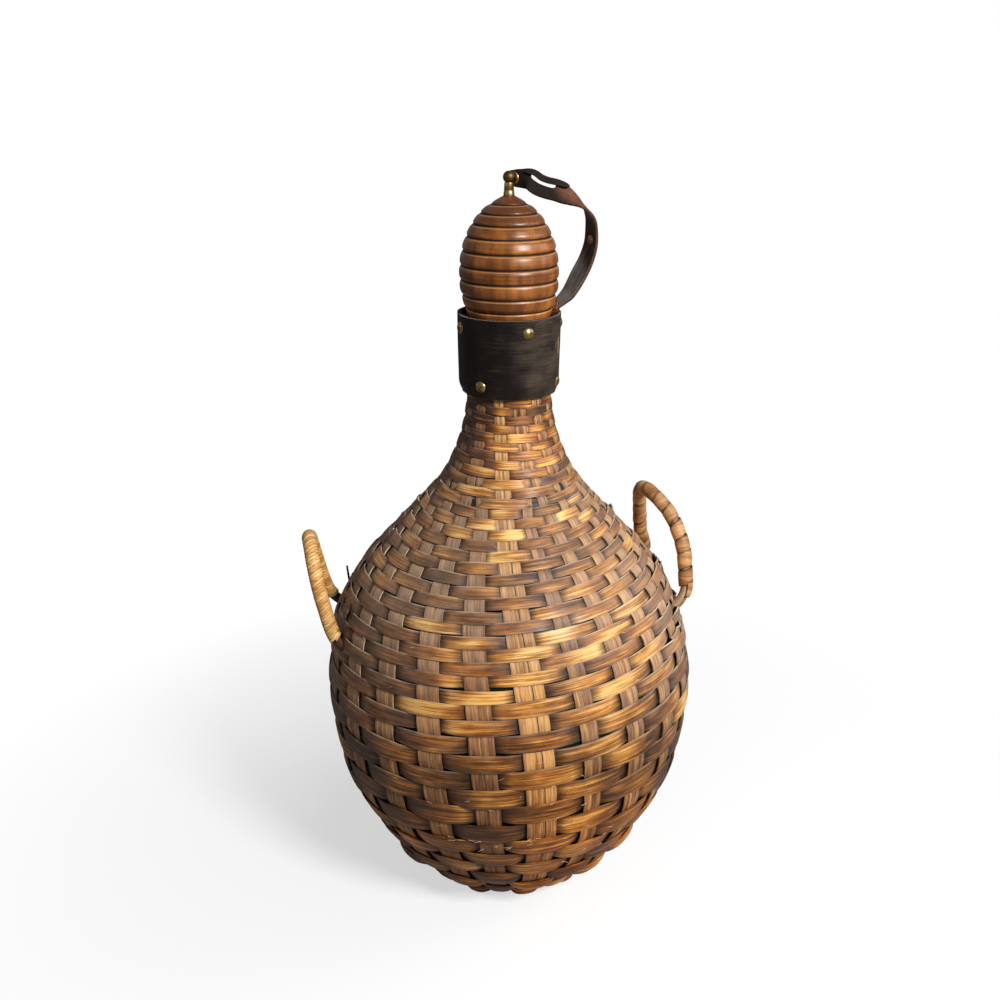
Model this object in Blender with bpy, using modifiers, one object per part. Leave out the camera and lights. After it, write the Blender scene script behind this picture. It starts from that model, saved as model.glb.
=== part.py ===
"""Wicker demijohn: a glass bottle in a woven cover, with a leather collar, a turned stopper
on a leather tether, and two wrapped rattan handles. Metres, +Z up. The origin is the middle
of the base, where the demijohn stands. The front of the photographed side faces -Y.
"""
import math

import bmesh
import bpy
from mathutils import Matrix, Vector

# Fits shared by all pieces
GAP = 0.0003
WELD_DISTANCE = 0.00003
SHANK_CLEARANCE = 0.0003
CUT_OVERRUN = 0.002

# Woven cover: the outline of its outside
FOOT_RADIUS = 0.056
BELLY_RADIUS = 0.127
BELLY_HEIGHT = 0.150
NECK_RADIUS = 0.0273
NECK_HEIGHT = 0.348
LOWER_WALL_SHARES = (
    (0, 0), (0.08, 0.17), (0.2, 0.445), (0.367, 0.665), (0.567, 0.875), (0.8, 0.97), (1, 1),
)
UPPER_WALL_SHARES = (
    (0.2, 0.921), (0.375, 0.766), (0.55, 0.457), (0.7, 0.197), (0.825, 0.071), (0.925, 0.016), (1, 0),
)
COVER_WALL = 0.0027
COVER_ROWS = 13
SIDES = 38

# Foot border and base disc
FOOT_HEIGHT = 0.014
FOOT_ROWS = 3
BASE_RADIUS = 0.050
BASE_THICKNESS = 0.005

# Stakes of the weave: pairs in the neck, most of which part into two below it
STAKE_PAIRS = 13
WHOLE_PAIRS = (0, 4, 8)
STAKE_THICKNESS = 0.0017
STAKE_BELLY_WIDTH = 0.0125
STAKE_NECK_WIDTH = 0.0033
WHOLE_STAKE_BELLY_WIDTH = 0.021
WHOLE_STAKE_NECK_WIDTH = 0.0068
PAIR_CLEARANCE = 0.0005
PARTING_TOP = 0.318
PARTING_FOOT = 0.268
STAKE_FRONT_DEG = 270.0
STAKE_LEAN_TOP_DEG = -15.0
STAKE_LEAN_FOOT_DEG = 12.0

# Glass bottle
GLASS_WALL = 0.0042
GLASS_FLOOR = 0.006
LIP_HEIGHT = 0.046

# Leather collar
COLLAR_WALL = 0.0024
COLLAR_HEIGHT = 0.0496
COLLAR_TOP_RADIUS = 0.0325
COLLAR_FOOT_RADIUS = 0.0311

# Dome-headed nails
NAIL_HEAD_RADIUS = 0.0038
NAIL_DOME = 0.0018
NAIL_SHANK_RADIUS = 0.0009
NAIL_BITE = 0.0032
NAIL_EDGE = 0.0078
HIGH_NAIL_DEG = (10.0, 105.0, 201.0, 290.0)
LOW_NAIL_DEG = (57.0, 152.0, 237.0, 342.0)
NAIL_SIDES = 8

# Stopper: wooden head, cork and brass knob
HEAD_RADIUS = 0.031
HEAD_HEIGHT = 0.0747
HEAD_BORE_RADIUS = 0.0023
HEAD_GROOVE = 0.0014
HEAD_SIDES = 36
HEAD_OUTLINE_SHARES = (
    (0, 0.125), (0.07, 0.40), (0.13, 0.57), (0.211, 0.715), (0.304, 0.836), (0.407, 0.935),
    (0.53, 0.987), (0.64, 1), (0.74, 0.995), (0.867, 0.925), (0.922, 0.87), (0.953, 0.85), (1, 0.835),
)
HEAD_GROOVE_SHARES = (0.07, 0.153, 0.242, 0.349, 0.479, 0.598, 0.713, 0.83, 0.953)
CORK_LENGTH = 0.022
CORK_TAPER = 0.0018
CORK_CHAMFER = 0.001
CORK_SIDES = 28
BALL_RADIUS = 0.0034
STEM_HEIGHT = 0.0085
STEM_TOP_RADIUS = 0.0028
STEM_FOOT_RADIUS = 0.0034
KNOB_SHANK_RADIUS = 0.002
KNOB_SHANK_BITE = 0.014
KNOB_SIDES = 16

# Pin and eyelet that tie the strap to the knob
PIN_DEG = 60.0
PIN_DROP = 0.0012
PIN_SHANK_RADIUS = 0.0016
PIN_HEAD_RADIUS = 0.003
PIN_DOME = 0.0013
PIN_DEPTH = 0.0016
PIN_SIDES = 12
EYELET_RADIUS = 0.0042
EYELET_WALL = 0.0005
EYELET_FLANGE = 0.0006
EYELET_SIDES = 16

# Leather strap
STRAP_THICKNESS = 0.0016
STRAP_WIDTH = 0.013
STRAP_ROOT_WIDTH = 0.0092
STRAP_TIP_RADIUS = 0.0047
STRAP_ROOT_DEG = 10.0
STRAP_ROOT_DEPTH = 0.0165
STRAP_REACH = 0.0507
STRAP_SWAY = 0.005
STRAP_STATIONS = 40
STRAP_COLUMNS = 3
STRAP_ROUTE_SHARES = (
    (0.605, 0.90, 0.05), (0.735, 0.75, 0.135), (0.83, 0.55, 0.245), (0.925, 0.30, 0.37),
    (0.985, 0.05, 0.475), (1.00, -0.15, 0.60), (0.985, -0.30, 0.705), (0.92, -0.40, 0.785),
    (0.815, -0.45, 0.84), (0.67, -0.45, 0.885), (0.56, -0.40, 0.915), (0.44, -0.30, 0.935),
    (0.345, -0.20, 0.96),
)
STRAP_TURN_SHARES = (
    (0, 10), (0.12, 10), (0.22, 30), (0.32, 40), (0.44, 32), (0.56, 22), (0.64, -5), (0.73, -50),
    (0.80, -65), (0.90, -80), (0.93, -90), (1, -90),
)
TIP_ROUTE_SHARES = (-2.3, -1.2, 0, 1)
SLOT_LENGTH = 0.0165
SLOT_WIDTH = 0.004
SLOT_RISE = 0.0026
SLOT_FROM_EYELET = 0.0195
RIVET_PLACE_SHARE = 0.475
RIVET_HEAD_RADIUS = 0.0031
RIVET_DOME = 0.0014
RIVET_SHANK_RADIUS = 0.001
RIVET_SIDES = 14

# Rattan handles: each arch is a table of shares (along of half the span, up and out of the rise)
CORE_RADIUS = 0.0033
CORE_POINTS = 32
CORE_BEVEL_RESOLUTION = 2
CORE_SIDES = 12
HANDLE_BITE = 0.0019
HANDLE_KNEE = 0.0065
LEFT_HANDLE_DEG = 190.0
LEFT_HANDLE_SPAN = 0.056
LEFT_HANDLE_RISE = 0.062
LEFT_HANDLE_FOOT = 0.195
LEFT_ARCH_SHARES = (
    (-0.915, 0.32, 0.18), (-0.79, 0.58, 0.235), (-0.55, 0.79, 0.27), (-0.27, 0.95, 0.29), (0, 1, 0.30),
    (0.27, 0.95, 0.29), (0.55, 0.79, 0.27), (0.79, 0.58, 0.235), (0.915, 0.32, 0.18),
)
RIGHT_HANDLE_DEG = 12.0
RIGHT_HANDLE_SPAN = 0.0778
RIGHT_HANDLE_RISE = 0.0674
RIGHT_HANDLE_FOOT = 0.206
RIGHT_ARCH_SHARES = (
    (-0.93, 0.356, 0.097), (-0.75, 0.56, 0.093), (-0.457, 0.80, 0.024), (-0.17, 0.965, -0.10),
    (0.057, 1, -0.157), (0.29, 0.94, -0.155), (0.47, 0.81, -0.13), (0.73, 0.546, -0.065),
    (0.877, 0.338, -0.02),
)

# Cane wrapping of the handles
WRAP_THICKNESS = 0.001
WRAP_END_CLEARANCE = 0.0012
WRAP_LOOP_POINTS = 10
WRAP_LEAST_GAP = 0.0004
LEFT_WRAP_LOOPS = 24
LEFT_WRAP_SPACE = 0.0008
LEFT_WRAP_COLUMNS = 1
RIGHT_WRAP_LOOPS = 13
RIGHT_WRAP_SPACE = 0.0014
RIGHT_WRAP_COLUMNS = 2

# Places worked out from the sizes above
STAKE_INSET = COVER_WALL + GAP
GLASS_INSET = STAKE_INSET + STAKE_THICKNESS + GAP
COLLAR_FOOT_Z = NECK_HEIGHT + COVER_WALL / 2
COLLAR_TOP_Z = COLLAR_FOOT_Z + COLLAR_HEIGHT
GLASS_BOTTOM_Z = BASE_THICKNESS + GAP
LIP_Z = NECK_HEIGHT + LIP_HEIGHT
COVER_TOP_Z = LIP_Z - GAP
HEAD_FOOT_Z = LIP_Z + GAP
HEAD_TOP_Z = HEAD_FOOT_Z + HEAD_HEIGHT
BALL_Z = HEAD_TOP_Z + STEM_HEIGHT + BALL_RADIUS * 0.8
PIN_Z = BALL_Z - PIN_DROP
PIN_WAY = Vector((math.cos(math.radians(PIN_DEG)), math.sin(math.radians(PIN_DEG)), 0))
EYELET_BORE_RADIUS = PIN_SHANK_RADIUS + SHANK_CLEARANCE
EYELET_HALF = STRAP_THICKNESS / 2 + GAP + EYELET_FLANGE
EYELET_CENTRE = BALL_RADIUS + GAP + EYELET_HALF
SHELL_PHASE = math.radians(STAKE_FRONT_DEG) - math.pi / SIDES


def clear_scene():
    for thing in list(bpy.data.objects):
        bpy.data.objects.remove(thing, do_unlink=True)


def make_collection(name):
    collection = bpy.data.collections.new(name)
    bpy.context.scene.collection.children.link(collection)
    return collection


def make_material(name, colour, roughness, metallic=0.0):
    material = bpy.data.materials.new(name)
    material.use_nodes = True
    shader = material.node_tree.nodes["Principled BSDF"]
    shader.inputs["Base Color"].default_value = (*colour, 1)
    shader.inputs["Roughness"].default_value = roughness
    shader.inputs["Metallic"].default_value = metallic
    material.diffuse_color = (*colour, 1)
    return material


def add_object(name, data, collection, material=None):
    thing = bpy.data.objects.new(name, data)
    collection.objects.link(thing)
    if material:
        data.materials.append(material)
    return thing


def smooth_value(table, place):
    """A smooth curve through a table of (place, value), read at one place."""
    last = len(table) - 1
    place = min(max(place, table[0][0]), table[last][0])
    k = next(i for i in range(last) if place <= table[i + 1][0])
    (x0, y0), (x1, y1) = table[k], table[k + 1]
    before, after = table[max(k - 1, 0)], table[min(k + 2, last)]
    slope0 = (y1 - before[1]) / (x1 - before[0])
    slope1 = (after[1] - y0) / (after[0] - x0)
    width = x1 - x0
    t = (place - x0) / width
    return (
        y0 * (1 + 2 * t) * (1 - t) ** 2 + y1 * t * t * (3 - 2 * t)
        + width * (slope0 * t * (1 - t) ** 2 - slope1 * t * t * (1 - t))
    )


def straight_value(table, place):
    """Straight lines through a table of (place, value), read at one place."""
    place = min(max(place, table[0][0]), table[-1][0])
    k = next(i for i in range(len(table) - 1) if place <= table[i + 1][0])
    (x0, y0), (x1, y1) = table[k], table[k + 1]
    return y0 + (y1 - y0) * (place - x0) / (x1 - x0)


# The wall: the outside of the weave, which the stakes and the glass follow inside
WALL_TABLE = [
    (BELLY_HEIGHT * h, FOOT_RADIUS + (BELLY_RADIUS - FOOT_RADIUS) * r) for h, r in LOWER_WALL_SHARES
] + [
    (BELLY_HEIGHT + (NECK_HEIGHT - BELLY_HEIGHT) * h, NECK_RADIUS + (BELLY_RADIUS - NECK_RADIUS) * r)
    for h, r in UPPER_WALL_SHARES
]


def wall_radius(z):
    return smooth_value(WALL_TABLE, z)


def wall_normal(z):
    """Outward direction of the wall at a height, as (radial, up)."""
    step = NECK_HEIGHT / 1000
    low, high = max(z - step, 0), min(z + step, NECK_HEIGHT)
    slope = (wall_radius(high) - wall_radius(low)) / (high - low)
    size = math.hypot(1, slope)
    return 1 / size, -slope / size


def wall_point(z, inset):
    out, up = wall_normal(z)
    return wall_radius(z) - inset * out, z - inset * up


def rows_between(low, high, count):
    """Heights from low to high, evenly spaced along the wall."""
    fine = [low + (high - low) * i / 400 for i in range(401)]
    run = [0.0]
    for a, b in zip(fine, fine[1:]):
        run.append(run[-1] + math.hypot(b - a, wall_radius(b) - wall_radius(a)))
    table = list(zip(run, fine))
    return [straight_value(table, run[-1] * i / (count - 1)) for i in range(count)]


FOOT_LEVELS = rows_between(0, FOOT_HEIGHT, FOOT_ROWS)
COVER_LEVELS = rows_between(FOOT_HEIGHT + GAP, NECK_HEIGHT, COVER_ROWS)


def wall_from_floor(inset, floor, stride=1):
    """Wall points at an inset, from foot to neck, that start where they cross a floor."""
    levels = FOOT_LEVELS + COVER_LEVELS[::-stride][::-1]
    points = [wall_point(z, inset) for z in levels]
    k = next(i for i, point in enumerate(points) if point[1] > floor)
    (r0, z0), (r1, z1) = points[max(k - 1, 0)], points[k]
    share = (floor - z0) / (z1 - z0)
    return [(r0 + (r1 - r0) * share, floor)] + points[k:]


def turned(name, profile, sides, collection, material=None, closed=True, sharp_deg=40.0):
    """A turned solid from (radius, height) points that run down its outer side."""
    mesh = bpy.data.meshes.new(name)
    edges = [(i, i + 1) for i in range(len(profile) - 1)]
    if closed:
        edges.append((len(profile) - 1, 0))
    mesh.from_pydata([(r, 0, z) for r, z in profile], edges, [])
    thing = add_object(name, mesh, collection, material)
    screw = thing.modifiers.new("Turn", "SCREW")
    screw.axis = "Z"
    screw.angle = 2 * math.pi
    screw.steps = screw.render_steps = sides
    screw.use_merge_vertices = True
    screw.merge_threshold = WELD_DISTANCE
    apply_modifiers(thing, sharp_deg)
    return thing


def apply_modifiers(thing, sharp_deg=40.0):
    """Swaps the object's mesh for its evaluated one, so that cuts can follow."""
    bpy.context.view_layer.update()
    graph = bpy.context.evaluated_depsgraph_get()
    mesh = bpy.data.meshes.new_from_object(thing.evaluated_get(graph))
    thing.modifiers.clear()
    thing.data = mesh
    mesh.shade_smooth()
    mesh.set_sharp_from_angle(angle=math.radians(sharp_deg))


def cut(thing, cutter):
    cutter.hide_render = True
    cutter.display_type = "WIRE"
    boolean = thing.modifiers.new("Cut " + cutter.name, "BOOLEAN")
    boolean.operation = "DIFFERENCE"
    boolean.solver = "EXACT"
    boolean.object = cutter


def rod_cutter(name, start, end, radius, sides, cutters):
    """A closed rod between two points, for a hole."""
    way = end - start
    shape = bmesh.new()
    bmesh.ops.create_cone(
        shape, cap_ends=True, segments=sides, radius1=radius, radius2=radius, depth=way.length,
    )
    place = Matrix.Translation((start + end) / 2) @ way.to_track_quat("Z", "Y").to_matrix().to_4x4()
    bmesh.ops.transform(shape, matrix=place, verts=shape.verts)
    mesh = bpy.data.meshes.new(name)
    shape.to_mesh(mesh)
    shape.free()
    return add_object(name, mesh, cutters)


def stand_on(thing, point, way):
    """Puts the object's origin at a point, with its own Z along a direction."""
    thing.location = point
    thing.rotation_mode = "QUATERNION"
    thing.rotation_quaternion = way.to_track_quat("Z", "Y")


def round_flats(radius):
    """Corner radius of a many-sided bore whose flats stand at a radius."""
    return radius / math.cos(math.pi / SIDES)


def polar(degrees, radius, z):
    angle = math.radians(degrees)
    return Vector((radius * math.cos(angle), radius * math.sin(angle), z))


# Bottle, base and border

def build_glass(parts):
    outside = wall_from_floor(GLASS_INSET, GLASS_BOTTOM_Z)
    inside = wall_from_floor(GLASS_INSET + GLASS_WALL, GLASS_BOTTOM_Z + GLASS_FLOOR, 2)
    neck, bore = outside[-1][0], inside[-1][0]
    lip = (neck - bore) / 3
    profile = [(0, GLASS_BOTTOM_Z + GLASS_FLOOR)] + inside
    profile += [(bore, LIP_Z - lip), (bore + lip, LIP_Z), (neck - lip, LIP_Z), (neck, LIP_Z - lip)]
    profile += outside[::-1] + [(0, GLASS_BOTTOM_Z)]
    material = make_material("green_glass", (0.16, 0.24, 0.14), 0.08)
    glass = turned("glass_bottle", profile, SIDES, parts, material, closed=False)
    glass.rotation_euler[2] = SHELL_PHASE


def build_base(parts, wicker):
    profile = [(0, BASE_THICKNESS), (BASE_RADIUS, BASE_THICKNESS), (BASE_RADIUS, 0), (0, 0)]
    base = turned("base_disc", profile, SIDES, parts, wicker, closed=False)
    base.rotation_euler[2] = SHELL_PHASE


def build_foot_border(parts, wicker):
    outside = [(wall_radius(z), z) for z in FOOT_LEVELS]
    top = FOOT_LEVELS[-1]
    floor = GLASS_BOTTOM_Z - GAP
    reach = wall_from_floor(GLASS_INSET - GAP, floor)
    high = wall_point(top, GLASS_INSET - GAP)
    inside = [point for point in reach if point[1] < high[1]] + [high]
    bore = BASE_RADIUS + GAP
    profile = outside[::-1] + [(bore, 0), (bore, floor)] + inside
    border = turned("foot_border", profile, SIDES, parts, wicker)
    border.rotation_euler[2] = SHELL_PHASE


# Woven cover and its stakes

def collar_radius(z):
    """Radius of the collar's inner face at a height."""
    share = (z - COLLAR_FOOT_Z) / COLLAR_HEIGHT
    return COLLAR_FOOT_RADIUS + (COLLAR_TOP_RADIUS - COLLAR_FOOT_RADIUS) * share - COLLAR_WALL


def build_cover(parts, wicker):
    inner_neck = round_flats(NECK_RADIUS - COVER_WALL)
    band_foot = COLLAR_FOOT_Z + GAP
    outside = [(wall_radius(z), z) for z in COVER_LEVELS]
    band = [(collar_radius(z) - GAP, z) for z in (COVER_TOP_Z, band_foot)]
    inside = [(round_flats(r), z) for r, z in (wall_point(level, COVER_WALL) for level in COVER_LEVELS)]
    profile = [(inner_neck, COVER_TOP_Z)] + band + outside[::-1] + inside
    cover = turned("wicker_cover", profile, SIDES, parts, wicker)
    cover.rotation_euler[2] = SHELL_PHASE
    return cover


def stake_lean(z):
    """How far the stakes have turned round the bottle at a height, in degrees."""
    share = z / NECK_HEIGHT
    return STAKE_LEAN_FOOT_DEG + (STAKE_LEAN_TOP_DEG - STAKE_LEAN_FOOT_DEG) * share ** 3


def stake_places():
    """For each stake: the turn of its pair in the neck, its side of the pair, and its own turn below."""
    places = []
    for pair in range(STAKE_PAIRS):
        for side in (0,) if pair in WHOLE_PAIRS else (-1, 1):
            places.append((360 * pair / STAKE_PAIRS, side))
    return [(neck, side, 360 * number / len(places)) for number, (neck, side) in enumerate(places)]


def stake_width(z, side):
    share = (wall_radius(z) - NECK_RADIUS) / (BELLY_RADIUS - NECK_RADIUS)
    neck, belly = WHOLE_STAKE_NECK_WIDTH, WHOLE_STAKE_BELLY_WIDTH
    if side:
        neck, belly = STAKE_NECK_WIDTH, STAKE_BELLY_WIDTH
    return neck + (belly - neck) * share


def stake_turn(z, radius, neck, side, body):
    """Angle round the bottle of a stake's middle line at a height, where its back has a radius."""
    half_pair = (stake_width(z, side) + PAIR_CLEARANCE) / 2 / radius
    parted = min(max((PARTING_TOP - z) / (PARTING_TOP - PARTING_FOOT), 0), 1)
    paired = math.radians(neck) + side * half_pair
    own = math.radians(body)
    return math.radians(STAKE_FRONT_DEG + stake_lean(z)) + paired + (own - paired) * parted


def build_stakes(parts):
    """Flat splints between the glass and the cover, from the foot to the lip."""
    material = make_material("stake_cane", (0.42, 0.27, 0.11), 0.6)
    inner = GLASS_INSET - GAP
    rows = [(wall_point(z, inner), wall_point(z, STAKE_INSET), z) for z in COVER_LEVELS]
    top = COVER_TOP_Z - GAP
    rows.append(((NECK_RADIUS - inner, top), (NECK_RADIUS - STAKE_INSET, top), NECK_HEIGHT))
    for number, (neck, side, body) in enumerate(stake_places(), 1):
        shape = bmesh.new()
        rings = []
        for back, face, z in rows:
            middle = stake_turn(z, back[0], neck, side, body)
            half = stake_width(z, side) / 2 / back[0]
            turns = (-half, half) if side else (-half, 0, half)
            corners = [(back, turn) for turn in turns] + [(face, turn) for turn in reversed(turns)]
            ring = [
                shape.verts.new((r * math.cos(middle + turn), r * math.sin(middle + turn), up))
                for (r, up), turn in corners
            ]
            rings.append([shape.edges.new(ends) for ends in zip(ring, ring[1:] + ring[:1])])
            if len(rings) in (1, len(rows)):
                shape.faces.new(ring)
        for low, high in zip(rings, rings[1:]):
            bmesh.ops.bridge_loops(shape, edges=low + high)
        bmesh.ops.recalc_face_normals(shape, faces=shape.faces)
        mesh = bpy.data.meshes.new("stake")
        shape.to_mesh(mesh)
        shape.free()
        add_object(f"stake_{number:02d}", mesh, parts, material)


# Collar and nails

def build_collar(parts):
    inner_foot, inner_top = collar_radius(COLLAR_FOOT_Z), collar_radius(COLLAR_TOP_Z)
    profile = [
        (COLLAR_TOP_RADIUS, COLLAR_TOP_Z), (COLLAR_FOOT_RADIUS, COLLAR_FOOT_Z),
        (inner_foot, COLLAR_FOOT_Z), (inner_top, COLLAR_TOP_Z),
    ]
    leather = make_material("black_leather", (0.035, 0.028, 0.024), 0.5)
    collar = turned("leather_collar", profile, SIDES, parts, leather)
    collar.rotation_euler[2] = SHELL_PHASE
    return collar


def dome_profile(radius, height, seat=0.0):
    """Points down a dome, from the axis to its rim, which stands at the height called seat."""
    return [
        (radius * math.sin(math.radians(turn)), seat + height * math.cos(math.radians(turn)))
        for turn in (0, 30, 60, 90)
    ]


def build_nails(parts, cutters, collar, cover, brass):
    reach = GAP + COLLAR_WALL + GAP + NAIL_BITE
    tip = NAIL_SHANK_RADIUS * 0.4
    profile = dome_profile(NAIL_HEAD_RADIUS, NAIL_DOME)
    profile += [(NAIL_SHANK_RADIUS, 0), (NAIL_SHANK_RADIUS, tip - reach), (tip, -reach), (0, -reach)]
    places = [(degrees, COLLAR_TOP_Z - NAIL_EDGE) for degrees in HIGH_NAIL_DEG]
    places += [(degrees, COLLAR_FOOT_Z + NAIL_EDGE) for degrees in LOW_NAIL_DEG]
    holes = []
    for number, (degrees, z) in enumerate(places, 1):
        way = polar(degrees, 1, 0)
        seat = polar(degrees, collar_radius(z) + COLLAR_WALL + GAP, z)
        nail = turned(f"collar_nail_{number}", profile, NAIL_SIDES, parts, brass, closed=False)
        stand_on(nail, seat, way)
        hole = rod_cutter(
            f"nail_hole_{number}", seat - way * (reach + SHANK_CLEARANCE), seat + way * CUT_OVERRUN,
            NAIL_SHANK_RADIUS + SHANK_CLEARANCE, NAIL_SIDES, cutters,
        )
        cut(collar, hole)
        cut(cover, hole)
        holes.append(hole)
    return holes


# Stopper

def head_radius(share):
    return HEAD_RADIUS * smooth_value(HEAD_OUTLINE_SHARES, share)


def build_head(parts):
    """The beehive: rounded ribs between grooves, drilled for the knob's shank."""
    down = [(HEAD_BORE_RADIUS, 0), (head_radius(0), 0)]
    edges = (0,) + HEAD_GROOVE_SHARES + (1,)
    for top, foot in zip(edges, edges[1:]):
        for part_share in (0.25, 0.75):
            share = top + (foot - top) * part_share
            down.append((head_radius(share), share))
        if foot < 1:
            down.append((head_radius(foot) - HEAD_GROOVE, foot))
    down += [(head_radius(1), 1), (HEAD_BORE_RADIUS, 1)]
    profile = [(r, HEAD_TOP_Z - HEAD_HEIGHT * share) for r, share in down]
    wood = make_material("turned_wood", (0.28, 0.10, 0.045), 0.28)
    turned("stopper_head", profile, HEAD_SIDES, parts, wood)


def build_cork(parts):
    """The bung, drilled blind for the knob's shank."""
    top = HEAD_FOOT_Z - GAP
    foot = top - CORK_LENGTH
    wide = NECK_RADIUS - GLASS_INSET - GLASS_WALL - GAP
    narrow = wide - CORK_TAPER
    hole = KNOB_SHANK_RADIUS + SHANK_CLEARANCE
    hole_foot = HEAD_FOOT_Z - KNOB_SHANK_BITE - SHANK_CLEARANCE
    c = CORK_CHAMFER
    profile = [
        (0, hole_foot), (hole, hole_foot), (hole, top), (wide - c, top), (wide, top - c),
        (narrow, foot + c), (narrow - c, foot), (0, foot),
    ]
    cork = make_material("cork", (0.55, 0.38, 0.22), 0.85)
    turned("stopper_cork", profile, CORK_SIDES, parts, cork, closed=False)


def build_knob(parts, cutters, brass):
    """Ball and tapered stem, with a shank down through the head into the cork."""
    foot = HEAD_TOP_Z + GAP
    neck = math.asin(STEM_TOP_RADIUS / BALL_RADIUS)
    turns = [i * (math.pi - neck) / 8 for i in range(9)]
    profile = [(BALL_RADIUS * math.sin(turn), BALL_Z + BALL_RADIUS * math.cos(turn)) for turn in turns]
    profile[0] = (0, BALL_Z + BALL_RADIUS)
    seam = foot + STEM_HEIGHT * 0.4
    collar = STEM_FOOT_RADIUS - STEM_TOP_RADIUS
    profile.append((STEM_FOOT_RADIUS - collar / 2, seam + collar))
    profile += [(STEM_FOOT_RADIUS, seam), (STEM_FOOT_RADIUS, foot)]
    tip = HEAD_FOOT_Z - KNOB_SHANK_BITE
    profile += [(KNOB_SHANK_RADIUS, foot), (KNOB_SHANK_RADIUS, tip + KNOB_SHANK_RADIUS / 2)]
    profile += [(KNOB_SHANK_RADIUS / 2, tip), (0, tip)]
    knob = turned("brass_knob", profile, KNOB_SIDES, parts, brass, closed=False)
    centre = Vector((0, 0, PIN_Z))
    socket = rod_cutter(
        "pin_socket", centre + PIN_WAY * (BALL_RADIUS - PIN_DEPTH - SHANK_CLEARANCE),
        centre + PIN_WAY * (BALL_RADIUS + CUT_OVERRUN), EYELET_BORE_RADIUS, PIN_SIDES, cutters,
    )
    cut(knob, socket)


def build_pin_and_eyelet(parts, brass):
    """The eyelet lines the strap's hole, and the pin goes through it into the ball."""
    centre = Vector((0, 0, PIN_Z)) + PIN_WAY * EYELET_CENTRE
    r, barrel, f, h = EYELET_RADIUS, EYELET_BORE_RADIUS + EYELET_WALL, EYELET_FLANGE, EYELET_HALF
    profile = [
        (EYELET_BORE_RADIUS, h), (r - f / 2, h), (r, h - f / 2), (r - f / 2, h - f), (barrel, h - f),
        (barrel, f - h), (r - f / 2, f - h), (r, f / 2 - h), (r - f / 2, -h), (EYELET_BORE_RADIUS, -h),
    ]
    eyelet = turned("strap_eyelet", profile, EYELET_SIDES, parts, brass)
    stand_on(eyelet, centre, PIN_WAY)
    seat = EYELET_HALF + GAP
    tip = BALL_RADIUS - PIN_DEPTH - EYELET_CENTRE
    profile = dome_profile(PIN_HEAD_RADIUS, PIN_DOME, seat)
    profile += [(PIN_SHANK_RADIUS, seat), (PIN_SHANK_RADIUS, tip), (0, tip)]
    pin = turned("knob_pin", profile, PIN_SIDES, parts, brass, closed=False)
    stand_on(pin, centre, PIN_WAY)


# Routes: smooth curves through a few points, read by the distance along them

class Route:
    def __init__(self, points):
        self.places, self.run = [], [0.0]
        ends = [points[0] * 2 - points[1]] + list(points) + [points[-1] * 2 - points[-2]]
        for k in range(1, len(ends) - 2):
            for i in range(12):
                self.places.append(self.between(ends[k - 1:k + 3], i / 12))
        self.places.append(points[-1])
        for a, b in zip(self.places, self.places[1:]):
            self.run.append(self.run[-1] + (b - a).length)
        self.length = self.run[-1]

    @staticmethod
    def between(four, t):
        a, b, c, d = four
        return (
            b * 2 + (c - a) * t + (a * 2 - b * 5 + c * 4 - d) * t ** 2 + (b * 3 - a - c * 3 + d) * t ** 3
        ) / 2

    def at(self, distance):
        distance = min(max(distance, 0), self.length)
        k = next(i for i in range(len(self.run) - 1) if distance <= self.run[i + 1])
        share = (distance - self.run[k]) / (self.run[k + 1] - self.run[k])
        return self.places[k].lerp(self.places[k + 1], share)

    def way(self, distance):
        step = self.length / 200
        return (self.at(distance + step) - self.at(distance - step)).normalized()


# Leather strap

def strap_seat():
    """How far out the strap's root reaches: its two edges stand just inside the collar."""
    bore = collar_radius(COLLAR_TOP_Z - STRAP_ROOT_DEPTH) * math.cos(math.pi / SIDES) - GAP
    return math.sqrt(bore ** 2 - (STRAP_ROOT_WIDTH / 2) ** 2)


def strap_route():
    out = polar(STRAP_ROOT_DEG, 1, 0)
    rim = COLLAR_TOP_Z
    root = strap_seat() - STRAP_THICKNESS / 2
    rise = PIN_Z - rim
    heights = (rim - STRAP_ROOT_DEPTH, rim - STRAP_ROOT_DEPTH / 2, rim)
    points = [out * root + Vector((0, 0, z)) for z in heights]
    for far, side, up in STRAP_ROUTE_SHARES:
        points.append(Vector((STRAP_REACH * far, STRAP_SWAY * side, rim + rise * up)))
    end = Vector((0, 0, PIN_Z)) + PIN_WAY * EYELET_CENTRE
    along = Vector((-PIN_WAY.y, PIN_WAY.x, 0))
    points += [end + along * STRAP_TIP_RADIUS * share for share in TIP_ROUTE_SHARES]
    return Route(points)


def strap_frame(route, distance):
    """The strap's own directions at a distance along it: across, and out of its flesh side."""
    way = route.way(distance)
    turn = math.radians(straight_value(STRAP_TURN_SHARES, distance / route.length))
    front = Vector((0, -1, 0))
    side = way.cross(front).normalized()
    front = side.cross(way)
    across = front * math.cos(turn) + side * math.sin(turn)
    return across, way.cross(across)


def strap_half_width(route, distance):
    left = route.length - distance
    tip = STRAP_TIP_RADIUS
    if left < tip:
        return math.sqrt(tip ** 2 - (tip - max(left, tip / 12)) ** 2)
    share = min(distance / (2 * STRAP_ROOT_DEPTH), 1)
    wide = STRAP_ROOT_WIDTH + (STRAP_WIDTH - STRAP_ROOT_WIDTH) * share
    near_tip = min((left - tip) / (3 * tip), 1)
    return (2 * tip + (wide - 2 * tip) * near_tip) / 2


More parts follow.
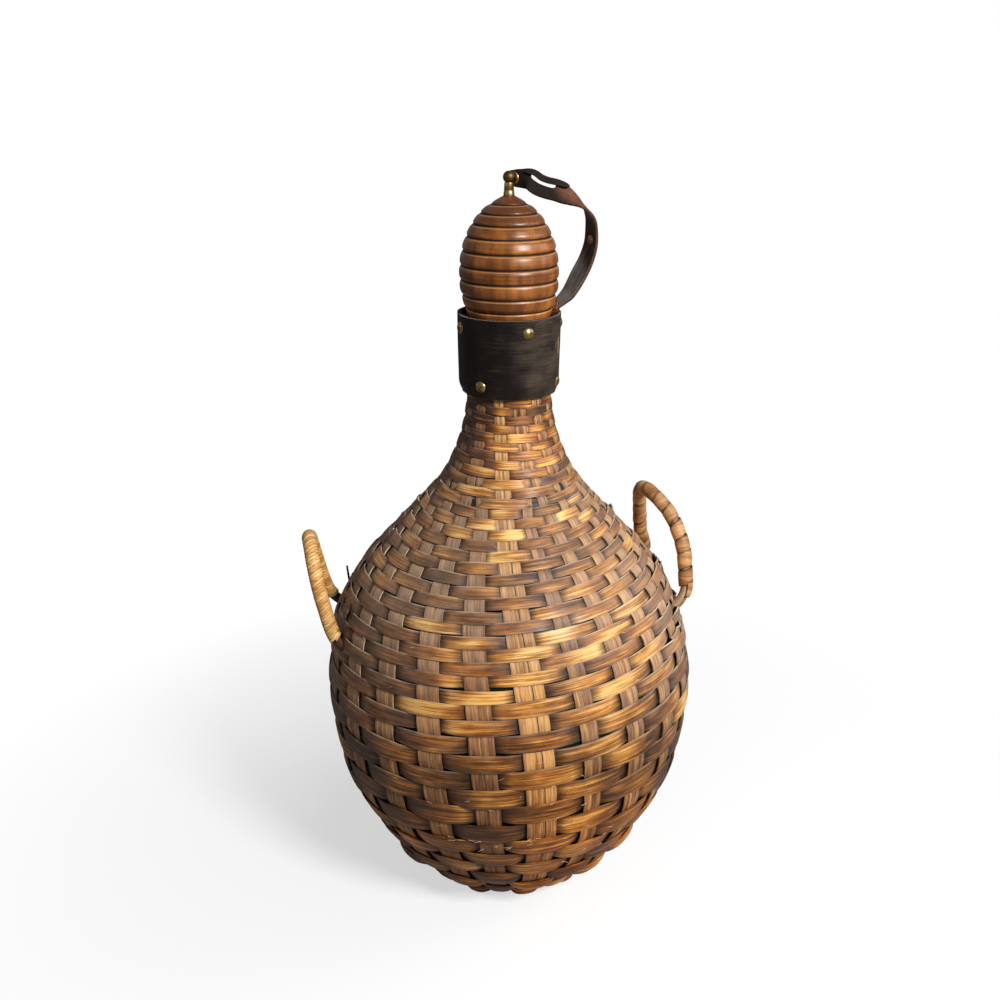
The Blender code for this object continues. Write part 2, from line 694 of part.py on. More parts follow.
def build_strap(parts, cutters, leather, nail_hole):
    route = strap_route()
    print(f"strap length {route.length * 1000:.1f} mm")
    shape = bmesh.new()
    bmesh.ops.create_grid(shape, x_segments=STRAP_STATIONS, y_segments=STRAP_COLUMNS, size=1)
    for vert in shape.verts:
        distance = route.length * (vert.co.x + 1) / 2
        across, _ = strap_frame(route, distance)
        vert.co = route.at(distance) + across * strap_half_width(route, distance) * vert.co.y
    mesh = bpy.data.meshes.new("strap")
    shape.to_mesh(mesh)
    shape.free()
    strap = add_object("leather_strap", mesh, parts, leather)
    thicken(strap, STRAP_THICKNESS)
    eye = route.length - STRAP_TIP_RADIUS
    hole_radius = EYELET_BORE_RADIUS + EYELET_WALL + SHANK_CLEARANCE
    drill = STRAP_THICKNESS + CUT_OVERRUN
    centre = Vector((0, 0, PIN_Z)) + PIN_WAY * EYELET_CENTRE
    ends = (centre - PIN_WAY * drill, centre + PIN_WAY * drill)
    cut(strap, rod_cutter("eyelet_hole", *ends, hole_radius, EYELET_SIDES, cutters))
    cut(strap, nail_hole)
    place = eye - SLOT_FROM_EYELET
    across, face = strap_frame(route, place)
    cut(strap, slot_cutter(route.at(place) - across * SLOT_RISE, route.way(place), face, cutters))
    return route


def thicken(thing, thickness):
    """Gives an open sheet its thickness, half on each side."""
    solidify = thing.modifiers.new("Thickness", "SOLIDIFY")
    solidify.thickness = thickness
    solidify.offset = 0
    apply_modifiers(thing)


def slot_cutter(centre, along, face, cutters):
    """A rod with round ends, flattened to the slot's width, that stands across the strap."""
    half = (SLOT_LENGTH - SLOT_WIDTH) / 2
    across = face.cross(along)
    shape = bmesh.new()
    bmesh.ops.create_cone(
        shape, cap_ends=True, segments=16, radius1=SLOT_WIDTH / 2, radius2=SLOT_WIDTH / 2,
        depth=2 * (STRAP_THICKNESS + CUT_OVERRUN),
    )
    for vert in shape.verts:
        if abs(vert.co.x) > SLOT_WIDTH / 1000:
            vert.co.x += math.copysign(half, vert.co.x)
    place = Matrix((along, across, face)).transposed().to_4x4()
    bmesh.ops.transform(shape, matrix=Matrix.Translation(centre) @ place, verts=shape.verts)
    mesh = bpy.data.meshes.new("strap_slot")
    shape.to_mesh(mesh)
    shape.free()
    return add_object("strap_slot", mesh, cutters)


def build_rivet(parts, cutters, route, brass):
    """Dome head on the smooth side, shank through the strap, burr on the flesh side."""
    place = route.length * RIVET_PLACE_SHARE
    across, face = strap_frame(route, place)
    seat = STRAP_THICKNESS / 2 + GAP
    burr = RIVET_HEAD_RADIUS * 0.75
    profile = dome_profile(RIVET_HEAD_RADIUS, RIVET_DOME, seat)
    profile += [(RIVET_SHANK_RADIUS, seat), (RIVET_SHANK_RADIUS, -seat), (burr, -seat)]
    profile += [(burr, -seat - RIVET_DOME / 3), (0, -seat - RIVET_DOME / 2)]
    rivet = turned("strap_rivet", profile, RIVET_SIDES, parts, brass, closed=False)
    stand_on(rivet, route.at(place), -face)
    ends = [route.at(place) + face * side * (STRAP_THICKNESS + CUT_OVERRUN) for side in (-1, 1)]
    hole = rod_cutter("rivet_hole", *ends, RIVET_SHANK_RADIUS + SHANK_CLEARANCE, RIVET_SIDES, cutters)
    cut(bpy.data.objects["leather_strap"], hole)


def cut_strap_pocket(cover, cutters):
    """The strap's root lies in a pocket of the neck band, behind the collar."""
    low = COLLAR_TOP_Z - STRAP_ROOT_DEPTH - SHANK_CLEARANCE
    high = COVER_TOP_Z + CUT_OVERRUN
    half = STRAP_ROOT_WIDTH / 2 + STRAP_THICKNESS / 2
    back = strap_seat() - STRAP_THICKNESS - GAP
    front = COLLAR_TOP_RADIUS
    shape = bmesh.new()
    bmesh.ops.create_cube(shape, size=1)
    bmesh.ops.scale(shape, vec=(front - back, 2 * half, high - low), verts=shape.verts)
    bmesh.ops.translate(shape, vec=((front + back) / 2, 0, (high + low) / 2), verts=shape.verts)
    turn = Matrix.Rotation(math.radians(STRAP_ROOT_DEG), 4, "Z")
    bmesh.ops.transform(shape, matrix=turn, verts=shape.verts)
    mesh = bpy.data.meshes.new("strap_pocket")
    shape.to_mesh(mesh)
    shape.free()
    cut(cover, add_object("strap_pocket", mesh, cutters))


# Handles

def handle_route(degrees, span, rise, foot, arch_shares):
    """A rattan arch whose two feet go square into the wall."""
    out = polar(degrees, 1, 0)
    along = polar(degrees + 90, 1, 0)
    up = Vector((0, 0, 1))
    middle = math.sqrt(wall_radius(foot) ** 2 - (span / 2) ** 2)
    points = [
        out * (middle + rise * o) + along * (span / 2) * a + up * (foot + rise * u)
        for a, u, o in arch_shares
    ]
    radial, lift = wall_normal(foot)
    feet = []
    for side in (-1, 1):
        base = out * middle + along * (span / 2) * side
        normal = base.normalized() * radial + up * lift
        seat = base + up * foot
        feet.append((seat, normal))
    (seat_a, normal_a), (seat_b, normal_b) = feet
    start = [seat_a - normal_a * HANDLE_BITE, seat_a + normal_a * HANDLE_KNEE]
    end = [seat_b + normal_b * HANDLE_KNEE, seat_b - normal_b * HANDLE_BITE]
    return Route(start + points + end), feet


def build_handle(side, shape_values, wrap_values, parts, cutters, cover, cane, wrap):
    route, feet = handle_route(*shape_values)
    curve = bpy.data.curves.new(f"{side}_handle_core", "CURVE")
    curve.dimensions = "3D"
    curve.bevel_depth = CORE_RADIUS
    curve.bevel_resolution = CORE_BEVEL_RESOLUTION
    curve.use_fill_caps = True
    spline = curve.splines.new("POLY")
    spline.points.add(CORE_POINTS - 1)
    for i, point in enumerate(spline.points):
        point.co = (*route.at(route.length * i / (CORE_POINTS - 1)), 1)
    add_object(curve.name, curve, parts, cane)
    hole = CORE_RADIUS + SHANK_CLEARANCE
    for number, (seat, normal) in enumerate(feet, 1):
        inner = seat - normal * (COVER_WALL + CUT_OVERRUN / 4)
        outer = seat + normal * HANDLE_KNEE
        cut(cover, rod_cutter(f"{side}_foot_hole_{number}", inner, outer, hole, CORE_SIDES, cutters))
    build_wrap(side, route, *wrap_values, parts, wrap)


def build_wrap(side, route, loops, space, columns, parts, material):
    """One flat strip of cane wound along the arch, as a helix about its route."""
    start = HANDLE_BITE + HANDLE_KNEE + WRAP_END_CLEARANCE
    pitch = (route.length - 2 * start) / (loops + 1)
    width = pitch - space
    inner = (CORE_RADIUS + GAP) / math.cos(math.pi / WRAP_LOOP_POINTS)
    radius = inner + WRAP_THICKNESS / 2
    shape = bmesh.new()
    bmesh.ops.create_grid(shape, x_segments=loops * WRAP_LOOP_POINTS, y_segments=columns, size=1)
    frames = carried_frames(route)
    for vert in shape.verts:
        share = (vert.co.x + 1) / 2
        turn = 2 * math.pi * loops * share
        distance = start + pitch / 2 + pitch * loops * share + width / 2 * vert.co.y
        first, second = frame_at(frames, route, distance)
        vert.co = route.at(distance) + (first * math.cos(turn) + second * math.sin(turn)) * radius
    mesh = bpy.data.meshes.new(f"{side}_handle_wrap")
    shape.to_mesh(mesh)
    shape.free()
    thing = add_object(mesh.name, mesh, parts, material)
    measure_gap(thing, columns, WRAP_LOOP_POINTS)
    thicken(thing, WRAP_THICKNESS)


def carried_frames(route):
    """Two directions square to the route at each of its places, carried along without a twist."""
    frames = []
    first = route.way(0).orthogonal().normalized()
    for distance in route.run:
        way = route.way(distance)
        first = (first - way * first.dot(way)).normalized()
        frames.append((first, way.cross(first)))
    return frames


def frame_at(frames, route, distance):
    k = min(range(len(route.run)), key=lambda i: abs(route.run[i] - distance))
    first, _ = frames[k]
    way = route.way(distance)
    first = (first - way * first.dot(way)).normalized()
    return first, way.cross(first)


def measure_gap(thing, columns, loop_points):
    """Least distance between points of the strip that are half a turn or more apart."""
    points = [vert.co for vert in thing.data.vertices]
    per_row = len(points) // (columns + 1)
    rows = [points[i * per_row:(i + 1) * per_row] for i in range(columns + 1)]
    least = min(
        (a - b).length
        for i, a in enumerate(rows[0]) for j, b in enumerate(rows[-1]) if abs(i - j) > loop_points // 2
    )
    enough = least > WRAP_LEAST_GAP
    print(f"{thing.name} least gap {least * 1000:.2f} mm, more than {WRAP_LEAST_GAP * 1000:.1f}: {enough}")


def build():
    clear_scene()
    parts = make_collection("wicker_demijohn")
    cutters = make_collection("cutters")
    wicker = make_material("wicker", (0.33, 0.19, 0.08), 0.6)
    brass = make_material("brass", (0.72, 0.55, 0.27), 0.3, 1.0)
    dark_brass = make_material("dark_brass", (0.20, 0.15, 0.11), 0.4, 1.0)
    strap_leather = make_material("strap_leather", (0.13, 0.075, 0.05), 0.55)
    cane = make_material("rattan_core", (0.62, 0.46, 0.27), 0.6)
    fine_wrap = make_material("light_cane_wrap", (0.62, 0.43, 0.22), 0.55)
    wide_wrap = make_material("brown_cane_wrap", (0.50, 0.35, 0.20), 0.55)
    build_glass(parts)
    build_base(parts, wicker)
    build_foot_border(parts, wicker)
    cover = build_cover(parts, wicker)
    build_stakes(parts)
    collar = build_collar(parts)
    nail_holes = build_nails(parts, cutters, collar, cover, brass)
    build_head(parts)
    build_cork(parts)
    build_knob(parts, cutters, brass)
    build_pin_and_eyelet(parts, brass)
    root_nail = min(range(len(HIGH_NAIL_DEG)), key=lambda i: abs(HIGH_NAIL_DEG[i] - STRAP_ROOT_DEG))
    route = build_strap(parts, cutters, strap_leather, nail_holes[root_nail])
    build_rivet(parts, cutters, route, dark_brass)
    cut_strap_pocket(cover, cutters)
    left = (LEFT_HANDLE_DEG, LEFT_HANDLE_SPAN, LEFT_HANDLE_RISE, LEFT_HANDLE_FOOT, LEFT_ARCH_SHARES)
    right = (RIGHT_HANDLE_DEG, RIGHT_HANDLE_SPAN, RIGHT_HANDLE_RISE, RIGHT_HANDLE_FOOT, RIGHT_ARCH_SHARES)
    left_wrap = (LEFT_WRAP_LOOPS, LEFT_WRAP_SPACE, LEFT_WRAP_COLUMNS)
    right_wrap = (RIGHT_WRAP_LOOPS, RIGHT_WRAP_SPACE, RIGHT_WRAP_COLUMNS)
    build_handle("left", left, left_wrap, parts, cutters, cover, cane, fine_wrap)
    build_handle("right", right, right_wrap, parts, cutters, cover, cane, wide_wrap)


build()
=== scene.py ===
# %% [markdown]
# # A wicker demijohn
# This lesson dresses a imported CAD model of a demijohn: a round glass bottle in a woven cane cover, with a
# leather collar, a turned stopper on a leather tether, and two wrapped rattan handles. The CAD model is
# loaded as a frame that never moves. Every finer piece made here is put where the frame says, and all but
# the strap, its rivet and its tail ride on one of its bodies.

# %% Load the frame
import math

import bmesh
import bpy
import numpy as np
from mathutils import Matrix, Vector


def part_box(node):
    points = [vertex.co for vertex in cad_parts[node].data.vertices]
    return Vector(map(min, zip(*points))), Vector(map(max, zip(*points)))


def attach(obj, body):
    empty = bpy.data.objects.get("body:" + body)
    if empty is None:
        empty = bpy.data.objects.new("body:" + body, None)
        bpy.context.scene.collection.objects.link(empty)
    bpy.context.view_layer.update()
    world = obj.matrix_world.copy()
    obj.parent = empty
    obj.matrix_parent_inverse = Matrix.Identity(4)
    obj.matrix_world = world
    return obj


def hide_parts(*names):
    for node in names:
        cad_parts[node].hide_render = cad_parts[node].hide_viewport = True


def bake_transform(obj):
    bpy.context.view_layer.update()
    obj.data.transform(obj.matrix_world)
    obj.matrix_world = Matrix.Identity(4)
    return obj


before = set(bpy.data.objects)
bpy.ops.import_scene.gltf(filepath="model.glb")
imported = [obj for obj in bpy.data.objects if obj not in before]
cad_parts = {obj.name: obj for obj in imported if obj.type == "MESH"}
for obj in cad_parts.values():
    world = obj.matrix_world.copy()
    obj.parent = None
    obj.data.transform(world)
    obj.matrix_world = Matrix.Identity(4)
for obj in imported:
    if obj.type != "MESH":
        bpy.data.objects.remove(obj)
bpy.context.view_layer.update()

chance = np.random.default_rng(1520)

# %% [markdown]
# ## Camera, floor and light
# The photograph was taken from a little above the stopper, looking down by about 20 degrees. The camera
# stands where that view was measured to come from. A pale floor and a white world give the plain backdrop.
# The world is white only where the camera, a reflection or the glass looks at it, and dimmer where it lights
# the piece, so that the colours render as they are written.

# %% Camera
def linked(name, data):
    """A new object in the scene, with its data."""
    thing = bpy.data.objects.new(name, data)
    bpy.context.scene.collection.objects.link(thing)
    return thing


LOOKING_DOWN_DEG = 20.6
camera = linked("camera", bpy.data.cameras.new("camera"))
camera.data.sensor_width = 36
camera.data.lens = 39.6
camera.data.shift_x = -0.009
camera.location = (0, -0.6865, 0.5308)
camera.rotation_euler = (math.radians(90 - LOOKING_DOWN_DEG), 0, 0)
bpy.context.scene.camera = camera
bpy.context.scene.view_settings.view_transform = "Standard"
print("camera height", camera.location.z)

# %% [markdown]
# ## Writing a finish
# A finish is a small web of shader nodes. To keep its maths readable, a wire wraps one output socket and does
# arithmetic: an expression such as `1 - fibre * 0.3` adds the Math nodes it needs. Any other node comes from
# the one method `node`, which takes its type, its settings and what goes into its sockets.

# %% Wires that do arithmetic
class Wire:
    """An output socket that can be used in sums."""

    def __init__(self, tree, socket=None):
        self.tree, self.socket = tree, socket

    def node(self, kind, settings=(), inputs=(), output=0):
        """Adds a node: its settings first, a ramp's stops too, then a value or a wire for each socket."""
        node = self.tree.nodes.new("ShaderNode" + kind)
        for name, value in dict(settings).items():
            if name == "stops":
                ramp = node.color_ramp.elements
                while len(ramp) < len(value):
                    ramp.new(0.5)
                for stop, (place, colour) in zip(ramp, value):
                    stop.position, stop.color = place, colour
            else:
                setattr(node, name, value)
        for name, value in dict(inputs).items():
            if isinstance(value, Wire):
                self.tree.links.new(value.socket, node.inputs[name])
            else:
                node.inputs[name].default_value = value
        return Wire(self.tree, node.outputs[output])

    def sum(self, operation, *values):
        return self.node("Math", {"operation": operation}, enumerate(values))

    def __add__(self, other):
        return self.sum("ADD", self, other)

    def __sub__(self, other):
        return self.sum("SUBTRACT", self, other)

    def __rsub__(self, other):
        return self.sum("SUBTRACT", other, self)

    def __mul__(self, other):
        return self.sum("MULTIPLY", self, other)

    __radd__, __rmul__ = __add__, __mul__

    def clamped(self, low=0.0, high=1.0):
        """This value spread so that low becomes 0 and high becomes 1, and held there."""
        return self.node("MapRange", {"clamp": True}, {0: self, 1: low, 2: high})

    def noise(self, where, scale, detail=2.0, rough=0.5):
        sockets = {"Vector": where, "Scale": scale, "Detail": detail, "Roughness": rough}
        return self.node("TexNoise", inputs=sockets)

    def blend(self, share, first, second, way="MIX"):
        """Mixes two colours by a share."""
        return self.node("Mix", {"data_type": "RGBA", "blend_type": way}, {0: share, 6: first, 7: second}, 2)

    def ramp(self, share, stops):
        """A colour for each share, from pairs of a place and a colour as it is read off a screen."""
        stops = [(place, tint(*colour)) for place, colour in stops]
        return self.node("ValToRGB", {"stops": stops}, {0: share})

    def fact(self, name):
        """A number stored on each point of the piece."""
        return self.node("Attribute", {"attribute_name": name}, output="Fac")

    def place(self):
        """Where a point is on the object, in metres."""
        return self.node("TexCoord", output="Object")

    def streaks(self, where, per_metre, detail=2.0, rough=0.5):
        """Noise that changes a different number of times per metre along each axis."""
        stretched = self.node("VectorMath", {"operation": "MULTIPLY"}, {0: where, 1: per_metre})
        return self.noise(stretched, 1.0, detail, rough)

    def bumped(self, height, distance, strength):
        return self.node("Bump", inputs={"Height": height, "Distance": distance, "Strength": strength})


def tint(red, green, blue):
    """A colour as it is read off a screen, from 0 to 255, made linear."""
    values = [c / 255 for c in (red, green, blue)]
    return (*[c / 12.92 if c <= 0.04045 else ((c + 0.055) / 1.055) ** 2.4 for c in values], 1)


def new_finish(name, **constants):
    """A material, the wire that starts its maths, and a function that ends it on the shader."""
    material = bpy.data.materials.new(name)
    material.use_nodes = True
    tree = material.node_tree
    shader = tree.nodes["Principled BSDF"]
    for socket, value in constants.items():
        shader.inputs[socket.replace("_", " ")].default_value = value

    def ends(**wires):
        for socket, wire in wires.items():
            tree.links.new(wire.socket, shader.inputs[socket.replace("_", " ")])
    return material, Wire(tree), ends


print("finishes are written with class Wire")

# %% [markdown]
# ## The floor and the world
# The floor is a wide disc a hair below the foot. Near the object it keeps a part of its own pale colour, so
# that the object's shadow falls on it, and further out it fades to the white of the world.


# %% Floor and backdrop
def ended(shape, name):
    """Makes a mesh of a bmesh, which is then done with."""
    mesh = bpy.data.meshes.new(name)
    shape.to_mesh(mesh)
    shape.free()
    return mesh


FLOOR_RADIUS, FLOOR_DROP = 9, 0.0004
floor_shape = bmesh.new()
bmesh.ops.create_circle(floor_shape, cap_ends=True, segments=96, radius=FLOOR_RADIUS)
bmesh.ops.translate(floor_shape, vec=(0, 0, -FLOOR_DROP), verts=floor_shape.verts)
floor_mesh = ended(floor_shape, "studio_floor")
floor = linked("studio_floor", floor_mesh)
floor_finish, w, ends = new_finish("pale_floor", Roughness=0.9, Specular_IOR_Level=0.1)
seen = w.node("LightPath", output="Is Camera Ray")
ends(Base_Color=w.blend(seen, tint(150, 148, 146), tint(248, 248, 248)))
away = w.node("VectorMath", {"operation": "LENGTH"}, {0: w.place()}, "Value")
glow = w.node("Emission", inputs={"Color": (1, 1, 1, 1), "Strength": 1.0})
whitened = seen * (away.clamped(0.14, 0.46) * 0.4 + 0.6)
plain = Wire(w.tree, w.tree.nodes["Principled BSDF"].outputs[0])
mixed = w.node("MixShader", inputs={0: whitened, 1: plain, 2: glow})
w.tree.links.new(mixed.socket, w.tree.nodes["Material Output"].inputs["Surface"])
floor_mesh.materials.append(floor_finish)

world = bpy.data.worlds.new("studio")
world.use_nodes = True
bpy.context.scene.world = world
w = Wire(world.node_tree)
camera_ray, glass_ray, mirror_ray = [w.node("LightPath", output=f"Is {kind} Ray")
                                     for kind in ("Camera", "Transmission", "Glossy")]
backdrop = world.node_tree.nodes["Background"]
backdrop.inputs["Color"].default_value = (1, 1, 1, 1)
WORLD_LIGHT, MIRRORED_SHARE = 0.16, 0.12
shown = w.sum("MAXIMUM", camera_ray, glass_ray)
level = w.sum("MAXIMUM", shown, mirror_ray * MIRRORED_SHARE)
world.node_tree.links.new((level * (1 - WORLD_LIGHT) + WORLD_LIGHT).socket, backdrop.inputs["Strength"])
print("world lights at", WORLD_LIGHT, "and shows at 1")


# %% Lamps
def soft_lamp(name, place, target, size, power):
    data = bpy.data.lights.new(name, "AREA")
    data.shape, data.size, data.energy = "DISK", size, power
    lamp = linked(name, data)
    lamp.location = place
    lamp.rotation_euler = (Vector(target) - Vector(place)).to_track_quat("-Z", "Y").to_euler()


soft_lamp("key", (0.76, -0.97, 1.12), (0, 0, 0.22), 0.42, 30)
soft_lamp("fill_left", (-1.2, -0.5, 0.7), (0, 0, 0.2), 0.9, 0.7)
soft_lamp("rim_right", (1.2, 0.1, 0.8), (0, 0, 0.25), 0.6, 4.0)
print("three soft lamps")

# %% [markdown]
# ## The outline that everything follows
# The cover hugs the bottle, so one outline carries the weave, the stakes and the glass. It is written as
# radius and height in millimetres, from the middle of the base, out under the foot and up to the neck, and
# made into a smooth curve. Every point of the weave is then a run along this curve, an angle round the
# bottle, and a depth inwards.


# %% Smooth curves
def smooth_curve(points, count):
    """A smooth curve through points of any width, at even shares of its length in the first columns."""
    points = np.asarray(points, float)
    padded = np.vstack([2 * points[0] - points[1], points, 2 * points[-1] - points[-2]])
    t = np.linspace(0, 1, 24, endpoint=False)[:, None]
    spans = []
    for a, b, c, d in zip(padded, padded[1:], padded[2:], padded[3:]):
        bent = (a * 2 - b * 5 + c * 4 - d) * t**2 + (b * 3 - a - c * 3 + d) * t**3
        spans.append((b * 2 + (c - a) * t + bent) / 2)
    fine = np.vstack(spans + [points[-1:]])
    width = min(fine.shape[1], 3)
    steps = np.linalg.norm(np.diff(fine[:, :width], axis=0), axis=1)
    run = np.concatenate([[0], np.cumsum(steps)])
    places = np.linspace(0, run[-1], count)
    return read_at(places, run, fine), places


def read_at(run, runs, table):
    """Every column of a table at one run or many, where its rows lie at known runs."""
    return np.stack([np.interp(run, runs, column) for column in table.T], -1)


def unit(rows):
    """Each row made one long."""
    return rows / np.linalg.norm(rows, axis=-1)[..., None]


def eased(value, low, high):
    """0 up to low, 1 from high, and a soft step between them."""
    share = np.clip((value - low) / (high - low), 0, 1)
    return share * share * (3 - 2 * share)


def between(value, start, full, fading, gone):
    """A soft step up to 1 and, further on, a soft step down again."""
    return eased(value, start, full) * (1 - eased(value, fading, gone))


print("curve helpers ready")

# %% The outline
OUTLINE_MM = [
    (3, 3.2), (16, 3.2), (30, 3.1), (42, 2.6), (49, 1.6), (53.5, 0.5), (57, 1.0), (61, 5.2), (66, 10),
    (77.2, 20), (87.6, 30), (94.7, 40), (100.4, 50), (106, 60), (111.5, 70), (116.2, 80), (119.6, 90),
    (121.9, 100), (124.9, 120), (127, 140), (126.9, 152), (125.9, 160), (121.9, 180), (115.6, 200),
    (106.4, 220), (99.4, 230), (90.7, 240), (81.1, 250), (71.9, 260), (62.7, 270), (53.7, 280), (46, 290),
    (40.2, 300), (35.7, 310), (32.1, 320), (29.6, 330), (28, 340), (27.3, 350), (27.3, 365), (27.3, 393),
]
BELLY_SPARED = 0.0011
outline, RUN = smooth_curve(np.array(OUTLINE_MM) / 1000, 1500)
outline[:, 0] -= BELLY_SPARED * np.clip((outline[:, 0] - 0.07) / 0.05, 0, 1)
FOOT_RADIUS, FOOT_HEIGHT = 0.0535, 0.0005
RUN = RUN - RUN[np.argmin(np.linalg.norm(outline - (FOOT_RADIUS, FOOT_HEIGHT), axis=1))]
way = unit(np.gradient(outline, axis=0))
outward = np.stack([way[:, 1], -way[:, 0]], 1)
print(f"outline {RUN[0]:.3f} to {RUN[-1]:.3f} m, foot at run 0")


# %% Places on the wall
def radius_at(run):
    return np.interp(run, RUN, outline[:, 0])


def height_at(run):
    return np.interp(run, RUN, outline[:, 1])


def upward_at(run):
    """How much the wall faces up at a run: 1 on a floor, 0 on an upright wall, below 0 where it overhangs."""
    return np.interp(run, RUN, outward[:, 1])


def run_at_height(height):
    wall = RUN >= 0
    return np.interp(height, outline[wall, 1], RUN[wall])


PULL, PULL_TURN, PULL_HEIGHT, PULL_SPREAD = 0.0026, -1.4, 0.198, 0.018


def wall_place(run, turn, inset):
    """Points at a run along the outline, an angle from the front to the right, and a depth inside the wall,
    which the left handle pulls out a little between its feet."""
    radius, height, up = radius_at(run), height_at(run), upward_at(run)
    out = np.interp(run, RUN, outward[:, 0])
    near = eased(np.cos(turn - PULL_TURN), 0.8, 1.0) * np.exp(-(((height - PULL_HEIGHT) / PULL_SPREAD) ** 2))
    radius, height = radius - out * inset + PULL * near, height - up * inset
    return np.stack([radius * np.sin(turn), -radius * np.cos(turn), height], -1)


print("belly", round(1000 * float(radius_at(run_at_height(0.15)))), "mm in radius")

# %% [markdown]
# ## Turning the outline into rows and stakes
# The cover is woven from one strip that climbs in a spiral, so its rows are numbered down from the collar and
# the number may be any fraction. Thirteen pairs of stakes come down the neck. Below it ten of the pairs part,
# which gives twenty-three stakes round the belly. Both numbers are odd: that is why a single spiral strip
# passes over a stake in one row and under it in the next. The rows also slope a little, higher on the right.

# %% Rows
ROW_HEIGHTS = [(-5, 0.380), (0, 0.352), (12, 0.288), (23, 0.228), (31, 0.163), (39, 0.053)]
row_table = [(n, run_at_height(z)) for n, z in ROW_HEIGHTS]
row_table += [(43, 0.0065), (46, -0.020), (49.5, RUN[0] + 0.004)]
ROWS_PER_METRE = 400
fine_rows = smooth_curve([(n, run * ROWS_PER_METRE) for n, run in row_table], 2000)[0]
SLOPE, SLOPED_HEIGHTS = 0.09, (0.012, 0.10, 0.24, 0.33)


def row_run(row, turn):
    """Where a row lies along the outline, at an angle round the bottle."""
    run = np.interp(row, fine_rows[:, 0], fine_rows[:, 1]) / ROWS_PER_METRE
    sway = SLOPE * between(height_at(run), *SLOPED_HEIGHTS) * (run > 0)
    return run + sway * radius_at(run) * np.sin(turn)


for n in (0, 12, 23, 31, 39):
    print("row", n, "is", round(1000 * float(row_run(n - 0.5, 0) - row_run(n + 0.5, 0)), 1), "mm wide")

# %% Stakes
PAIRS, WHOLE_PAIRS = 13, (0, 4, 8)
stake_list = []
for pair in range(PAIRS):
    for side in (0,) if pair in WHOLE_PAIRS else (-1, 1):
        stake_list.append((pair, side))
STAKES = len(stake_list)
TURNS_PARTED = 12.3
PARTED = round((STAKES - PAIRS) * TURNS_PARTED)
NECK_HEIGHT, PARTING_TOP, PARTING_FOOT = 0.348, 0.313, 0.280
PAIR_HALF_GAP = 0.0021
LEAN_FOOT_DEG, LEAN_CHANGE_DEG = 10.5, 25.5
WHOLE_WIDTH = 0.0198
belly_widths = chance.uniform(0.0118, 0.0166, STAKES)
belly_widths[[side == 0 for _, side in stake_list]] = WHOLE_WIDTH


def stake_lean(height):
    """How far the stakes lean round the bottle at a height, in turns."""
    return (LEAN_FOOT_DEG - LEAN_CHANGE_DEG * (height / NECK_HEIGHT) ** 3) / 360


def stake_turn(number, height):
    """The angle of a stake's middle line at a height."""
    pair, side = stake_list[number]
    apart = side * PAIR_HALF_GAP / radius_at(run_at_height(height)) / (2 * np.pi)
    parted = np.clip((PARTING_TOP - height) / (PARTING_TOP - PARTING_FOOT), 0, 1)
    paired = pair / PAIRS + apart
    return 2 * np.pi * (stake_lean(height) + paired + (number / STAKES - paired) * parted)


print(PAIRS, "pairs in the neck,", STAKES, "stakes below")

# %% [markdown]
# ## A strip from a flat grid
# Each strip of cane starts as Blender's flat grid. One function then moves all its points at once to their
# place in the weave, and the grid's own length and width are kept as a UV map in metres, so that fibres can
# run along it. The Solidify modifier gives it the thickness of cane.


# %% Strip helper
def set_facts(mesh, facts):
    """Stores numbers on a mesh's points: an array, or one number for all of them."""
    for fact, values in facts.items():
        spread = np.broadcast_to(values, len(mesh.vertices)).astype(np.float32)
        mesh.attributes.new(fact, "FLOAT", "POINT").data.foreach_set("value", spread)


def set_map(mesh, map_points):
    """Gives each point its place on the flat strip, in metres, as the UV map that the finishes read."""
    corners = np.empty(len(mesh.loops), int)
    mesh.loops.foreach_get("vertex_index", corners)
    mesh.uv_layers["cane"].data.foreach_set("uv", map_points[corners].ravel())


def flat_points(mesh):
    spots = np.empty(len(mesh.vertices) * 3)
    mesh.vertices.foreach_get("co", spots)
    return spots.reshape(-1, 3)


def bent_strip(name, along, across, place, sharp=True):
    """A grid moved by place(share along, side from -1 to 1), which gives its points, map and facts."""
    shape = bmesh.new()
    bmesh.ops.create_grid(shape, x_segments=along, y_segments=across, size=1)
    shape.loops.layers.uv.new("cane")
    for edge in shape.edges:
        edge.smooth = not (sharp and edge.is_boundary)
    mesh = ended(shape, name)
    flat = flat_points(mesh)
    points, map_points, facts = place((flat[:, 0] + 1) / 2, flat[:, 1])
    mesh.vertices.foreach_set("co", points.ravel())
    set_map(mesh, map_points)
    set_facts(mesh, facts)
    mesh.polygons.foreach_set("use_smooth", [True] * len(mesh.polygons))
    return mesh


def add_piece(mesh, finishes, stands_for=(), body="demijohn", thickness=0.0):
    """Puts a mesh in the scene, and lets it ride on a body. Three finishes are for face, back and rim."""
    piece = linked(mesh.name, mesh)
    finishes = finishes if isinstance(finishes, tuple) else (finishes,)
    for finish in finishes:
        mesh.materials.append(finish)
    if thickness:
        solid = piece.modifiers.new("Thickness", "SOLIDIFY")
        solid.thickness, solid.offset = thickness, 0.0
        if len(finishes) == 3:
            solid.material_offset, solid.material_offset_rim = 1, 2
    if body:
        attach(piece, body)
    if stands_for:
        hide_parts(*stands_for)
    return piece


print("strip helper ready")
